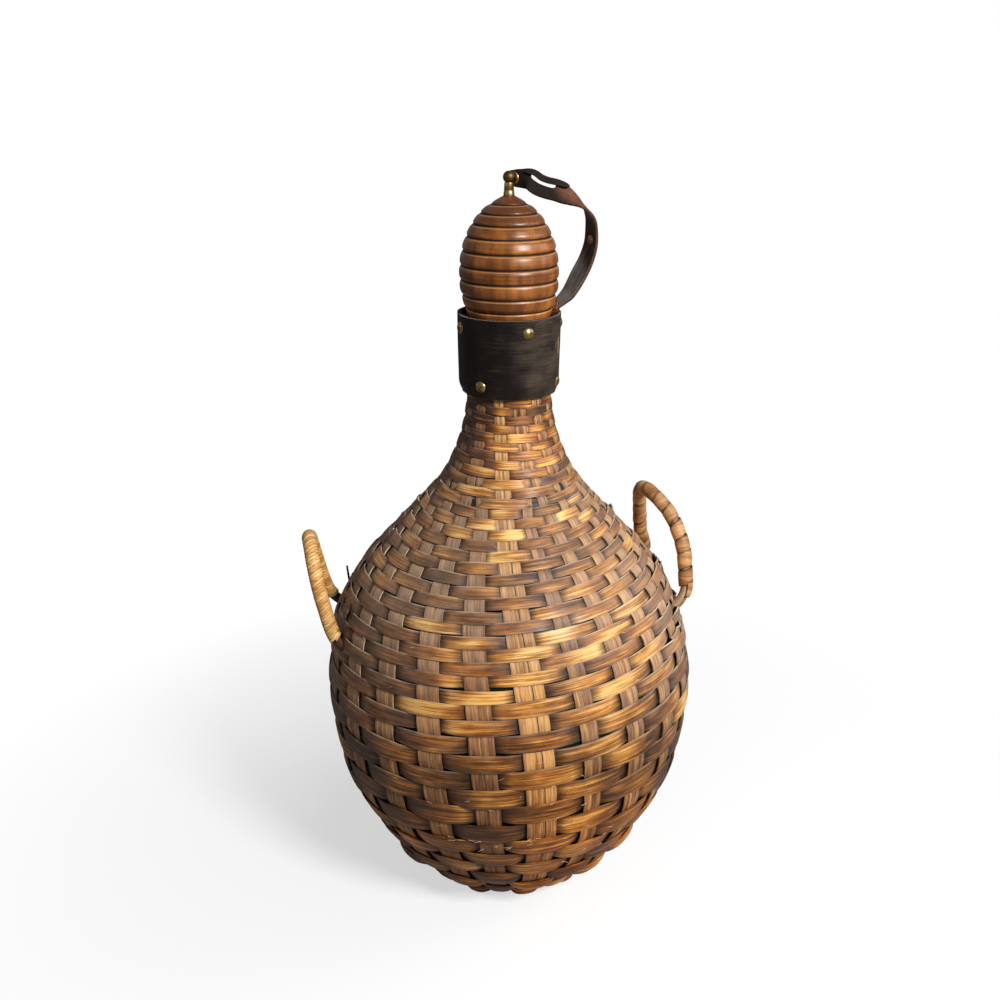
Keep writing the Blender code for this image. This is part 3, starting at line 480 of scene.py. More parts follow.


# %% [markdown]
# ## The look of weathered cane
# Split cane is shiny on its skin side, with fine fibres along it. It has darkened to brown where hands and
# dust reach it, and shade on the weave's left is painted in too. Painted shade darkens each strip where it
# dives under a stake and along its edges, and a painted highlight keeps it golden on the crests of the weave.
# The colour reads numbers that are stored on the strip: how near a point is to the crest and to the edge, a
# tone for each float and for each length of strip, a painted highlight in the middle of a float, how much
# dust and painted sheen lie on it, and how frayed its edge is. Below zero, the dust number draws the cane
# darker and more orange.

# %% Cane finish
# The dark colour is painted shade, in the dives under stakes and along strip edges, and also the colour of
# cracks. The pale grey is dust and a painted sheen, and also the colour of the hairlines.
def cane_finish(name, ramp, dark, dust_and_sheen_tint, streak=1.0, rough=0.42, coat=0.12, hairline=0.15, edge_shade=0.3):
    material, w, ends = new_finish(name, Coat_Weight=coat, Coat_Roughness=0.3, Specular_IOR_Level=0.3)
    uv = w.node("UVMap", {"uv_map": "cane"})
    fibre = w.streaks(uv, (60, 3000, 1), 3.0, 0.6)
    streaks = w.streaks(uv, (16, 800, 1), 2.0, 0.6)
    bands = w.streaks(uv, (22, 300, 1), 1.0, 0.5)
    cracks = w.streaks(uv, (14, 480, 1), 1.0, 0.4)
    cracks = (1 - w.sum("ABSOLUTE", cracks - 0.5) * 22).clamped()
    patches = w.streaks(uv, (70, 170, 1))
    regions = w.noise(w.place(), 11.0)
    crest, glow, edge = w.fact("crest"), w.fact("glow"), w.fact("edge")
    lines = (fibre - 0.5) * 1.2 + (streaks - 0.5) * 1.4 + (bands - 0.5) * 1.0
    # glow is a painted highlight in the middle of each float, and crest adds a little painted highlight on
    # the crests
    tone = w.fact("tone") * 0.44 + w.fact("length_tone") * 0.18 + glow * 0.48 + crest * 0.12 + lines * streak
    tone = tone + (patches - 0.5) * 0.7 + (regions - 0.5) * 1.0 - 0.12
    colour = w.ramp(tone.clamped(-0.05, 0.98), zip((0.0, 0.28, 0.55, 0.8, 1.0), ramp))
    # Below zero the dust number draws the cane darker and more orange, where the wall overhangs.
    orange = regions.clamped(0.50, 0.66) * 0.55 + (w.fact("dust") * -1).clamped(0.0, 0.35) * 0.4
    colour = w.blend(orange, colour, (1.0, 0.74, 0.45, 1), "MULTIPLY")
    # Dust and a painted sheen of the light, in pale grey, where the wall faces up.
    dust = (w.fact("dust") * 0.75 + (patches - 0.5) * 0.7 + (1 - streaks) * 0.45 - 0.30).clamped(0.0, 0.75)
    colour = w.blend(dust * 0.55, colour, dust_and_sheen_tint)
    colour = w.blend((fibre * 0.5 + streaks * 0.5).clamped(0.56, 0.66) * hairline, colour, dust_and_sheen_tint)
    rim = edge.clamped(0.76, 1.0)
    # Painted shade where the strip dives under a stake, dark cracks, and painted shade along the strip's
    # edges.
    for share in ((1 - crest.clamped(0.0, 0.30)) * 0.9, cracks * 0.4, rim * edge_shade):
        colour = w.blend(share, colour, dark)
    frayed = rim * (patches + fibre - 0.35).clamped(0.36, 0.70) * w.fact("frayed")
    colour = w.blend(frayed, colour, tint(204, 182, 156))
    height = fibre * 0.8 + streaks * 0.8 + bands * 0.3
    ends(Base_Color=colour, Roughness=(patches - 0.5) * 0.3 + rough + dust * 0.3 - glow * 0.08,
         Normal=w.bumped(height, 0.00035, 0.8))
    return material


# In each cane finish the dark tint is painted shade and the colour of cracks, and the grey tint is dust, a
# painted sheen and the hairlines. The stakes have more painted shade along their edges, in the gaps between
# splints.
WEAVER_FINISH = cane_finish(
    "weathered_cane", ((58, 33, 16), (102, 61, 27), (154, 96, 38), (212, 148, 64), (244, 202, 122)),
    tint(28, 15, 8), tint(168, 138, 114),
)
STAKE_FINISH = cane_finish(
    "stake_cane", ((74, 46, 28), (108, 71, 44), (146, 100, 61), (186, 135, 80), (220, 171, 106)),
    tint(34, 20, 13), tint(190, 164, 140), streak=0.72, rough=0.5, coat=0.03, hairline=0.4, edge_shade=0.5,
)
print("cane finishes written")

# %% [markdown]
# ## The weaver
# The strip goes over a stake, dives between two stakes and passes under the next. Seen from the side that is
# a wave, a little squared off because cane is stiff. Its edges wander, each float is slightly crowned, and it
# is narrower where it is pressed under a stake. It is made in lengths, one for each zone of the bottle, so
# that no mesh grows too large.

# %% Chance numbers for the weave
FLOATS, LENGTHS = 2400, 200
row_noise = chance.uniform(-1, 1, 6000)
float_tone = chance.uniform(0, 1, FLOATS)
float_shift = chance.uniform(-0.7, 0.7, FLOATS)
# how strong the painted highlight is on each float
float_highlight = chance.uniform(0.1, 1.0, FLOATS)
length_tone = chance.uniform(0, 1, LENGTHS)
table_rows = np.linspace(-5, 49.5, 6000)
table_runs = row_run(table_rows, 2 * np.pi * table_rows)
table_length = np.concatenate([[0], np.cumsum(radius_at(table_runs)[1:] * np.diff(table_rows))]) * 2 * np.pi
print(f"one strip of {table_length[-1]:.1f} m")


# %% Meeting the stakes
STAKE_STEP = 0.0345  # from one stake to the next where the belly is widest
PAIR_SHARE = 0.17  # of the step that lies under the strip at a pair of stakes in the neck


def crossing_at(row):
    """Counts the stakes that the strip has met, down from the top: whole numbers are stakes."""
    run = np.interp(row, table_rows, table_runs)
    turns = row - stake_lean(np.where(run > 0, height_at(run), 0.0))
    above, below = PAIRS * turns, STAKES * turns - PARTED
    return np.where(turns < TURNS_PARTED, above, below)


def weave_rise(crossing):
    """0 where the strip is under a stake, rising to 1 over the next stake."""
    away = np.abs((crossing % 2) - 1)
    under = np.round((crossing - 1) / 2).astype(int) * 2 + 1
    stake = (under + PARTED) % STAKES
    share = np.where(under < PAIRS * TURNS_PARTED, PAIR_SHARE, belly_widths[stake] / 2 / STAKE_STEP)
    return np.clip((away - share) / (1 - share), 0, 1)


def wavering(row, frequency, start=0):
    """Smooth chance numbers from -1 to 1 along the strip."""
    return np.interp((row + 6) * frequency + start, np.arange(len(row_noise)), row_noise)


# %% Wear, painted shade and painted highlight
def dust_and_sheen_on(points, run):
    """Dust and a painted sheen lie where the wall faces up, most on the shoulders at the sides. Below zero,
    where the wall overhangs, the cane is drawn darker and more orange.
    """
    up = upward_at(run)
    side = np.clip(0.25 + np.abs(points[:, 0] - 0.01) * 7.0, 0, 1)
    return np.clip((up * 1.2 + 0.25) * side, 0, 1) - 0.35 * eased(-up, 0.0, 0.45)


def stain_and_shade(turn, height):
    """How much darker the weave is drawn: hand stains and the collar's painted shadow on the neck, most on
    its left, and painted shade on the left of the belly, where the light falls off.
    """
    neck, belly = eased(height, 0.29, 0.33), 1 - eased(height, 0.18, 0.23)
    left, right = eased(-np.sin(turn), 0.1, 0.6), eased(np.sin(turn), 0.4, 0.8)
    return neck * (1.2 * left + 0.35 * right) + 0.35 * left * belly


def front_highlight(turn, height):
    """A painted highlight on the front, from the belly up to the shoulder, where the lamp shines back from
    the cane.
    """
    return 0.4 * eased(np.cos(turn - 0.24), 0.74, 0.98) * between(height, 0.11, 0.19, 0.28, 0.32)


def loosened(turn, height):
    """How much the weave has been rubbed loose: on the shoulders, at the two sides."""
    sides = eased(np.abs(np.sin(turn + 0.15)), 0.80, 0.97) * np.where(np.cos(turn) > -0.5, 1, 0.5)
    return sides * between(height, 0.16, 0.19, 0.27, 0.31)


print("wear is worked out from the angle and the height")


# %% One length of the weaver
CANE_THICKNESS = 0.0008
CREST_DEPTH, HALF_DIVE = 0.0005, 0.00105  # under the outline, and from there to half way down
CROWN = 0.00012  # how far the edges of a strip lie below its middle
CURL, RUBBED_CURL, RUBBED_LIFT = 0.0005, 0.0026, 0.0017  # how far edges and crests stand up
PUFF, LAST_PUFF, PUFF_CROWN = 0.0032, 0.0016, 0.0030  # how far the rows round the foot swell out
LOW_ROWS, FOOT_ROWS, LAST_ROW = (33, 38, 43, 44.5), (39.4, 40.6, 43.45, 43.55), (42.40, 42.55, 43.45, 43.55)
LEAST_HEIGHT = 0.0009
FACES_PER_STAKE, FACES_ACROSS = 14, 6
FIRST_FLOAT, FIRST_LENGTH, FLOATS_PER_LENGTH = 100, 20, 16  # the strip's floats are numbered from below zero


def weave_zone(name, first_row, last_row, stands_for):
    """The strip from one row to another."""
    crossings = crossing_at(last_row) - crossing_at(first_row)

    def place(share, side):
        row = first_row + (last_row - first_row) * share
        turn = 2 * np.pi * row
        crossing = crossing_at(row)
        rise = weave_rise(crossing)
        wave = 1 - 2 * (1 - rise) ** 2.9
        low, pillow, last = [between(row, *rows) for rows in (LOW_ROWS, FOOT_ROWS, LAST_ROW)]
        wander = wavering(row, 17.3) * 0.05 + wavering(row, 3.1, 900) * 0.07
        ragged = wavering(row, 61.7) * 0.02
        loose = np.clip(wavering(row, 9.7, 300) - 0.35, 0, 1) * (0.16 + 0.2 * low)
        half = (1.03 + 0.10 * low - (0.10 + 0.30 * low + 0.2 * last) * (1 - rise) ** 1.5 - loose) / 2 + ragged
        taper = np.clip(np.minimum(share, 1 - share) * crossings / 0.9, 0.12, 1) ** 0.6
        run = row_run(row + wander - side * half * taper, turn)
        pitch = row_run(row - 0.5, turn) - row_run(row + 0.5, turn)
        depth = np.clip(pitch / 0.009, 0.65, 1.2) + 0.35 * low
        height = height_at(np.interp(row, table_rows, table_runs))
        rubbed = loosened(turn, height) * np.clip(0.55 + wavering(row, 13.1, 700) * 0.9, 0, 1)
        peeled = np.clip(wavering(row, 23.9, 50) + rubbed * 0.8 - 0.45, 0, 1)
        curl = (CURL + RUBBED_CURL * rubbed) * peeled * (side > 0) * side**2
        inset = CREST_DEPTH + HALF_DIVE * (1 - wave) * depth + CROWN * side**4 - curl * (wave < 0.9)
        puffed = pillow * (1 - (1 - rise) ** 2.4)
        swell = puffed * (PUFF + LAST_PUFF * last - PUFF_CROWN * side**2)
        inset = inset - swell - rubbed * RUBBED_LIFT * rise**1.5
        points = wall_place(run, turn, inset)
        points[:, 2] = np.maximum(points[:, 2], LEAST_HEIGHT)
        along = np.interp(row, table_rows, table_length)
        number = np.floor((crossing + 1) / 2).astype(int)
        at = number + FIRST_FLOAT
        middle = (crossing + 1) % 2 - 1
        # dust and a painted sheen where the wall faces up, and more where the weave is rubbed
        dust = dust_and_sheen_on(points, run) + rubbed * 0.7
        facts = {
            # crest is low where the strip dives under a stake, and the finish paints shade there
            "crest": rise, "edge": np.abs(side), "dust": dust,
            # tone: the float's own tone, darker for stains and painted shade, paler for a painted highlight
            # on the front
            "tone": float_tone[at] - stain_and_shade(turn, height) + front_highlight(turn, height),
            "frayed": np.where(side > 0, np.clip(0.12 + dust * 1.1, 0, 1), 0.08),
            # glow: a painted highlight about a point near the middle of each float
            "glow": float_highlight[at] * np.exp(-((middle - float_shift[at]) / 0.5) ** 2),
            "length_tone": length_tone[number // FLOATS_PER_LENGTH + FIRST_LENGTH],
        }
        return points, np.stack([along, side * pitch / 2], 1), facts

    mesh = bent_strip(name, int(crossings * FACES_PER_STAKE), FACES_ACROSS, place)
    return add_piece(mesh, WEAVER_FINISH, stands_for, thickness=CANE_THICKNESS)


# %% The weaver in its lengths
WEAVE_ZONES = [  # name, first row, last row, and the node that it stands for
    ("weave_neck", -5, 12.33, []), ("weave_upper_shoulder", 12.27, 18.43, []),
    ("weave_lower_shoulder", 18.37, 24.21, []), ("weave_upper_belly", 24.15, 29.88, []),
    ("weave_belly", 29.82, 34.09, ["wicker_cover"]), ("weave_lower_belly", 34.03, 39.58, []),
    ("weave_foot", 39.52, 43.53, ["foot_border"]), ("weave_base", 43.47, 49.4, ["base_disc"]),
]
for name, first_row, last_row, stands_for in WEAVE_ZONES:
    piece = weave_zone(name, first_row, last_row, stands_for)
    print(name, len(piece.data.polygons), "faces")

# %% [markdown]
# ## The stakes
# Every stake is two or three splints side by side. They come out between the floats, so they show as short
# pale ladders, and they move in and out against the weaver.

# %% Looking up a row
def row_at(run, turn):
    """The row number that lies at a run and an angle, found by looking up the fine table of rows."""
    rows = table_rows[::5]
    return np.interp(run, row_run(rows, np.full(rows.shape, turn))[::-1], rows[::-1])


print("row", round(float(row_at(0, 0)), 1), "lies at the foot")


# %% Stakes in place
NECK_RADIUS, BELLY_RADIUS = 0.0273, 0.127
WHOLE_NECK_WIDTH, HALF_NECK_WIDTH = 0.0072, 0.0036
TOP_GAP, FOOT_GAP = 0.004, 0.003  # from a stake's ends to the outline's
STAKE_DEPTH, STAKE_WAVE, STAKE_CROWN, STAKE_LIFT = 0.0018, 0.0006, 0.00004, 0.0010
THREE_SPLINTS = (2, 9, 15)
SPLINT_FACES = 330
LOOKUP_HEIGHT = 0.1  # a stake's angle at this height stands for all of it in the table of rows


def stake_piece(number):
    """One stake, made of its splints. The front stake, which is whole, is the palest."""
    whole = stake_list[number][1] == 0
    top, foot = RUN[-1] - TOP_GAP, RUN[0] + FOOT_GAP
    splints = 3 if number in THREE_SPLINTS else 2
    split, narrowed = (0.22, 0.955) if whole else (0.0, 0.982)
    belly_width = belly_widths[number]
    neck_width = WHOLE_NECK_WIDTH if whole else HALF_NECK_WIDTH
    paleness = 1.0 if number == 0 else 0.25 if whole else 0.0
    joined = bmesh.new()
    for splint in range(splints):
        fibre_start = chance.uniform(0, 9)
        splint_tone = chance.uniform(0.1, 0.9)

        def place(share, edge):
            run = top + (foot - top) * share
            height = np.where(run > 0, height_at(run), 0.0)
            radius = radius_at(run)
            turn = stake_turn(number, height)
            widened = np.clip((radius - NECK_RADIUS) / (BELLY_RADIUS - NECK_RADIUS), 0, 1) ** 0.75
            width = neck_width + (belly_width - neck_width) * widened
            width = np.minimum(width, radius * 2 * np.pi / STAKES * 0.9)
            starts = np.array([splint, splint + 1]) / splints * 2 - 1
            starts = starts + split * (np.abs(starts) < 1)
            offset = (starts.mean() + edge * narrowed * np.diff(starts)[0] / 2) * width / 2
            angle = turn + offset / radius
            row = row_at(run, float(stake_turn(number, LOOKUP_HEIGHT)))
            turns = turn / (2 * np.pi)
            rounds = np.round(row - turns)
            crossing = crossing_at(rounds + turns)
            phase = row - turns - rounds
            over = np.cos(np.pi * np.round(crossing)) * np.cos(np.pi * phase)
            inset = STAKE_DEPTH + STAKE_WAVE * over + STAKE_CROWN * edge**2
            inset = inset - STAKE_LIFT * loosened(turn, height)
            points = wall_place(run, angle, inset)
            dust = dust_and_sheen_on(points, run)
            facts = {
                # crest is low where the stake passes under the weaver, and the finish paints shade there
                "crest": np.clip(0.42 - 0.5 * over, 0, 1), "edge": np.abs(edge), "glow": 0.5,
                "tone": splint_tone + paleness * (0.25 + 0.75 * eased(height, 0.06, 0.18)),
                "length_tone": 0.5 + 0.25 * np.sin(run * 40 + number),
                "dust": dust * 1.3, "frayed": dust * 0.7,
            }
            return points, np.stack([run + fibre_start, offset + number * 0.1], 1), facts

        joined.from_mesh(bent_strip("splint", SPLINT_FACES, 2, place))
    bmesh.ops.reverse_faces(joined, faces=joined.faces)
    mesh = ended(joined, f"splints_{number + 1:02d}")
    mesh.shade_smooth()
    return add_piece(mesh, STAKE_FINISH, [f"stake_{number + 1:02d}"], thickness=CANE_THICKNESS)


for number in range(STAKES):
    stake_piece(number)
print(STAKES, "stakes in place")

# %% [markdown]
# ## Loose splinters
# Old cane sheds splinters. They lie round the wall where strips have been rubbed, most of them low on the
# front, and some on both shoulders. Each is only four faces long, and all of them share one mesh.


# %% Splinters
def hairs(name, roots, ways, lengths, width, finish):
    """Many short tapered splinters in one mesh: each is a narrow strip that bends as it leaves its root."""
    joined = bmesh.new()
    for root, way_out, length in zip(roots, ways, lengths):
        bend = chance.uniform(-0.2, 0.2, 3) * length

        def place(share, side):
            middle = root + np.outer(share, way_out * length) + np.outer(share**2, bend)
            across = unit(np.cross(way_out, (0.3, 0.2, 1.0)))
            points = middle + across * (side * width / 2 * (1.05 - share))[:, None]
            facts = {"crest": 1, "tone": 0.8, "length_tone": 0.8, "glow": 0.8, "dust": 0.8}
            return points, np.stack([share * length, side * width], 1), facts

        joined.from_mesh(bent_strip("hair", 4, 1, place))
    return add_piece(ended(joined, name), finish, thickness=width * 0.5)


# %% Where the splinters are
SPLINTER_WIDTH, SPLINTER_LENGTHS = 0.0003, (0.002, 0.005)
WHERE_SPLINTERS = [  # turn in degrees, height, spread of both, how many
    (4, 0.110, 16, 0.022, 16), (-6, 0.085, 8, 0.007, 10), (28, 0.075, 12, 0.012, 8), (-36, 0.215, 9, 0.02, 8),
    (40, 0.2, 8, 0.02, 6), (-20, 0.26, 12, 0.02, 6),
]
roots, ways = [], []
for middle, height, spread, rise, count in WHERE_SPLINTERS:
    turn = np.radians(middle + chance.normal(0, spread, count))
    run = run_at_height(height + chance.normal(0, rise, count))
    roots.append(wall_place(run, turn, SPLINTER_WIDTH))
    aside = chance.choice([-1, 1], count)[:, None]
    around = np.stack([np.cos(turn), np.sin(turn), chance.normal(0, 0.35, count)], 1)
    outwards = np.stack([np.sin(turn), -np.cos(turn), 0 * turn], 1)
    ways.append(around * aside + outwards * chance.uniform(0.0, 0.2, count)[:, None])
roots, ways = np.vstack(roots), unit(np.vstack(ways))
lengths = chance.uniform(*SPLINTER_LENGTHS, len(roots))
SPLINTER_FINISH = cane_finish(
    "pale_splinters", ((150, 112, 70), (180, 142, 98), (206, 172, 128), (224, 196, 156), (238, 216, 184)),
    tint(90, 60, 36), tint(222, 204, 184), streak=0.4, rough=0.6, coat=0.0,
)
hairs("loose_splinters", roots, ways, lengths, SPLINTER_WIDTH, SPLINTER_FINISH)
print(len(roots), "splinters")

# %% [markdown]
# ## Turned pieces
# The stopper, its knob, the nails, the eyelet and the bottle are all round about an axis, so each is a
# profile that is spun. The profile is a chain of points. Blender's spin operator sweeps it and welds the last
# step to the first.


# %% Spinning a profile
def spun(name, profile, steps, facts=()):
    """A turned mesh from (radius, height) points in metres, with numbers stored along the profile."""
    shape = bmesh.new()
    layers = {fact: shape.verts.layers.float.new(fact) for fact in dict(facts)}
    chain = [shape.verts.new((r, 0, z)) for r, z in profile]
    for fact, layer in layers.items():
        for vert, value in zip(chain, facts[fact]):
            vert[layer] = value
    edges = [shape.edges.new(pair) for pair in zip(chain, chain[1:])]
    bmesh.ops.spin(shape, geom=chain + edges, cent=(0, 0, 0), axis=(0, 0, 1), angle=2 * math.pi, steps=steps,
                   use_merge=True)
    bmesh.ops.remove_doubles(shape, verts=shape.verts, dist=1e-6)
    bmesh.ops.recalc_face_normals(shape, faces=shape.faces)
    mesh = ended(shape, name)
    mesh.shade_smooth()
    return mesh


def in_metres(profile):
    """A profile that was written in millimetres."""
    return [(r / 1000, z / 1000) for r, z in profile]


def dome(radius, base, rise, angle, count):
    """The profile of a dome from its top to its rim: a ball's cap of some angle, made as high as asked."""
    low = math.cos(angle)
    return [(radius * math.sin(a) / math.sin(angle), base + rise * (math.cos(a) - low) / (1 - low))
            for a in np.linspace(0, angle, count)]


def stood(mesh, place, way):
    """Moves a mesh so that its own up points along a direction from a place."""
    turn = Vector(way).to_track_quat("Z", "Y").to_matrix().to_4x4()
    mesh.transform(Matrix.Translation(place) @ turn)
    return mesh


print("spin helper ready")

# %% [markdown]
# ## The turned stopper
# The head is a beehive of hardwood with ten grooves cut on the lathe. Between two grooves the wood swells in
# a round rib. The finish is a red-brown polish, and fine lathe lines run round it. Shade is painted into the
# grooves, and a highlight is painted on the upper lip of each rib.

# %% Stopper finish
WOOD_FINISH, w, ends = new_finish("polished_turned_wood", Coat_Roughness=0.42, Specular_IOR_Level=0.3)
where = w.place()
lines = w.streaks(where, (6, 6, 900))
grain = w.streaks(where, (160, 160, 14), 3.0, 0.6)
figure = w.streaks(where, (30, 30, 90))
groove, lip = w.fact("groove"), w.fact("lip")
tone = (grain - 0.5) * 0.9 + (lines - 0.5) * 0.5 + (figure - 0.5) * 0.8 + 0.5
WOOD_RAMP = [(0.0, (58, 29, 10)), (0.4, (104, 57, 19)), (0.7, (148, 88, 32)), (1.0, (186, 120, 52))]
colour = w.ramp(tone.clamped(), WOOD_RAMP)
cap = w.node("SeparateXYZ", inputs={0: where}, output="Z").clamped(0.452, 0.462)
colour = w.blend(cap * 0.7, colour, tint(78, 40, 26))
# Painted shade in the grooves.
colour = w.blend(groove.clamped(0.05, 0.7), colour, tint(20, 9, 5))
# A painted highlight on the upper lip of each rib.
colour = w.blend(lip * 0.55, colour, tint(206, 150, 100))
ends(Base_Color=colour, Roughness=(lines - 0.5) * 0.2 + 0.34 + groove * 0.4,
     Coat_Weight=(1 - groove.clamped(0.0, 0.5)) * 0.32,
     Normal=w.bumped(lines * 0.6 + grain * 0.4, 0.0002, 0.5))
print("stopper finish written")

# %% Stopper head
GROOVES_MM = np.array([470.2, 464.4, 459.2, 453.0, 445.6, 437.2, 428.4, 419.6, 410.3, 402.0, 395.4, 390.0])
HEAD_MM = [  # height and radius
    (394.6, 25.9), (397.8, 26.3), (404.2, 28.4), (413.7, 30.6), (421.2, 31.0), (429.4, 30.8), (438.6, 29.2),
    (446.3, 26.6), (453.2, 23.0), (459.2, 18.5), (463.8, 13.2), (469.0, 4.0),
]
HEAD_TOP, HEAD_FOOT, UNDERSIDE, GROOVE_DEPTH = 468.9, 394.4, 23.5, 1.5
levels = np.linspace(HEAD_TOP, HEAD_FOOT, 300)
bulk = np.interp(levels, *zip(*HEAD_MM))
bulk = np.convolve(np.pad(bulk, 8, "reflect", reflect_type="odd"), np.ones(17) / 17, "valid")
rib = np.searchsorted(-GROOVES_MM, -levels) - 1
upper, lower = GROOVES_MM[rib], GROOVES_MM[rib + 1]
across = (upper - levels) / (upper - lower) * 2 - 1
swell = np.abs(across) ** 3.2
sides = zip(np.maximum(bulk - GROOVE_DEPTH * swell, 0), levels)
profile = [(0, HEAD_TOP), *sides, (UNDERSIDE, HEAD_FOOT), (0, HEAD_FOOT)]
# groove says where shade is painted, lip where a highlight is painted
facts = {
    "groove": [0, *np.clip((swell - 0.45) / 0.5, 0, 1), 0, 0],
    "lip": [0, *np.clip(1 - np.abs(across + 0.74) / 0.12, 0, 1), 0, 0],
}
head = spun("turned_head", in_metres(profile), 96, facts)
add_piece(head, WOOD_FINISH, ["stopper_head"], "stopper")
print("stopper head", len(head.polygons), "faces")

# %% [markdown]
# ## Brass: knob, pin, eyelet and nails
# All the metal is old brass, bright where it is touched and brown elsewhere, in spots and clouds. Most of the
# knob's ball has tarnished, which is stored on its profile. The rivet and the pin have a second, darker
# finish.


# %% Brass finishes
def brass_finish(name, bright, dull):
    material, w, ends = new_finish(name, Metallic=1.0)
    spots, clouds = w.noise(w.place(), 900.0, 3.0, 0.6), w.noise(w.place(), 260.0)
    rubbed = (clouds * 0.6 + spots * 0.4 - w.fact("tarnished") * 0.22).clamped(0.38, 0.66)
    ends(Base_Color=w.blend(rubbed, dull, bright), Roughness=(1 - rubbed) * 0.2 + 0.3,
         Normal=w.bumped(spots, 0.0001, 0.15))
    return material


BRASS_FINISH = brass_finish("old_brass", tint(198, 176, 120), tint(98, 76, 42))
DARK_BRASS_FINISH = brass_finish("dark_brass", tint(188, 160, 118), tint(84, 62, 44))
print("brass finishes written")

# %% Knob
BALL_MIDDLE, BALL_RADIUS = 480.0, 3.7
ball_angles = np.linspace(0, 2.45, 20)
ball = [(BALL_RADIUS * math.sin(a), BALL_MIDDLE + BALL_RADIUS * math.cos(a)) for a in ball_angles]
STEM_MM = [
    (2.4, 477.2), (2.75, 476.9), (2.85, 476.2), (2.95, 474.4), (3.05, 472.8), (2.9, 472.55), (2.9, 472.35),
    (3.15, 472.1), (3.3, 470.6), (3.45, 469.3), (3.4, 468.6), (2.0, 468.5), (2.0, 455.0), (0, 455.0),
]
tarnished = [1.0 if a > 0.25 else 0.3 for a in ball_angles] + [0.0] * len(STEM_MM)
knob = spun("ball_knob", in_metres(ball + STEM_MM), 40, {"tarnished": tarnished})
add_piece(knob, BRASS_FINISH, ["brass_knob"], "stopper")
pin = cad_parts["knob_pin"]
pin.data.materials.clear()
pin.data.materials.append(DARK_BRASS_FINISH)
print("knob and pin")

# %% Eyelet
PIN_WAY = Vector((0.5, math.sin(math.radians(60)), 0))
EYE = Vector((0.0027, 0.0047, 0.4790))
RING_MM = [(2.0, 0.8), (2.4, 1.35), (3.1, 1.55), (3.9, 1.35), (4.2, 0.95), (4.2, 0.82)]
whole_ring = RING_MM + [(r, -z) for r, z in RING_MM[::-1]] + RING_MM[:1]
eyelet = stood(spun("eyelet_ring", in_metres(whole_ring), 32), EYE, PIN_WAY)
add_piece(eyelet, BRASS_FINISH, ["strap_eyelet"], "stopper")
print("eyelet")

# %% Nails
NAIL_RADIUS, NAIL_RISE = 3.8, 1.9
SHANK_MM = [(3.7, -0.35), (0.9, -0.35), (0.8, -5.0), (0, -5.4)]
nail_profile = dome(NAIL_RADIUS, 0, NAIL_RISE, 1.25, 12) + SHANK_MM
for number in range(1, 9):
    low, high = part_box(f"collar_nail_{number}")
    middle = (low + high) / 2
    out = Vector((middle.x, middle.y, 0)).normalized()
    points = [Vector(v.co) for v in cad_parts[f"collar_nail_{number}"].data.vertices]
    reach = max(point.dot(out) for point in points)
    height = sum(point.z for point in points) / len(points)
    nail = spun(f"dome_nail_{number}", in_metres(nail_profile), 28)
    stood(nail, out * (reach - NAIL_RISE / 1000) + Vector((0, 0, height)), out)
    add_piece(nail, BRASS_FINISH, [f"collar_nail_{number}"])
print("eight nails")

# %% [markdown]
# ## The leather collar
# A strip of thick black leather is nailed round the neck. It is one strip whose ends meet on the right, where
# a bite is torn out of it and the brown flesh of the leather shows. Its lowest few millimetres are pulled in
# towards the weave, and its cut rim is paler than its face. Solidify can give the rim and the back materials
# of their own.


# %% Leather finishes
def leather_finish(name, face, scuff_and_sheen, rough, coat):
    material, w, ends = new_finish(name, Coat_Weight=coat, Coat_Roughness=0.35, Specular_IOR_Level=0.2)
    uv = w.node("UVMap", {"uv_map": "cane"})
    scratches = w.streaks(uv, (60, 2200, 1), 3.0, 0.6)
    grain = w.streaks(uv, (1500, 1500, 1), 3.0, 0.6)
    clouds = w.streaks(uv, (55, 90, 1), 3.0, 0.55)
    # Real scratches and clouds wear the leather pale, and a stored number adds a painted sheen.
    worn_and_sheen = (scratches - 0.5) * 1.3 + (clouds - 0.5) * 1.0 + 0.24 + w.fact("scuffed") * 0.36
    worn_and_sheen = worn_and_sheen.clamped(0.32, 0.95)
    colour = w.blend(worn_and_sheen * 0.8, face, scuff_and_sheen)
    colour = w.blend(w.fact("edge").clamped(0.9, 1.0) * 0.5, colour, scuff_and_sheen)
    ends(Base_Color=colour, Roughness=(clouds - 0.5) * 0.3 + rough + worn_and_sheen * 0.12,
         Normal=w.bumped(scratches * 0.7 + grain * 0.5, 0.0003, 0.55))
    return material


def flesh_finish(name, dark, light):
    material, w, ends = new_finish(name, Roughness=0.85, Specular_IOR_Level=0.25)
    nap, patch = w.noise(w.place(), 1500.0, 4.0, 0.7), w.noise(w.place(), 160.0)
    colour = w.blend((nap * 0.6 + patch * 0.5).clamped(0.35, 0.75), dark, light)
    ends(Base_Color=w.blend(w.fact("blackened") * 0.96, colour, tint(20, 14, 11)),
         Normal=w.bumped(nap, 0.0004, 0.8))
    return material


# The collar's pale colour is for its scratches and cut edges, and for a painted sheen on its right side.
COLLAR_FINISH = leather_finish("black_collar_leather", tint(18, 11, 8), tint(84, 70, 57), 0.48, 0.05)
FLESH_FINISH = flesh_finish("leather_flesh", tint(46, 25, 17), tint(112, 72, 54))
RIM_FINISH = flesh_finish("cut_leather_rim", tint(96, 80, 72), tint(176, 154, 142))
print("leather finishes written")

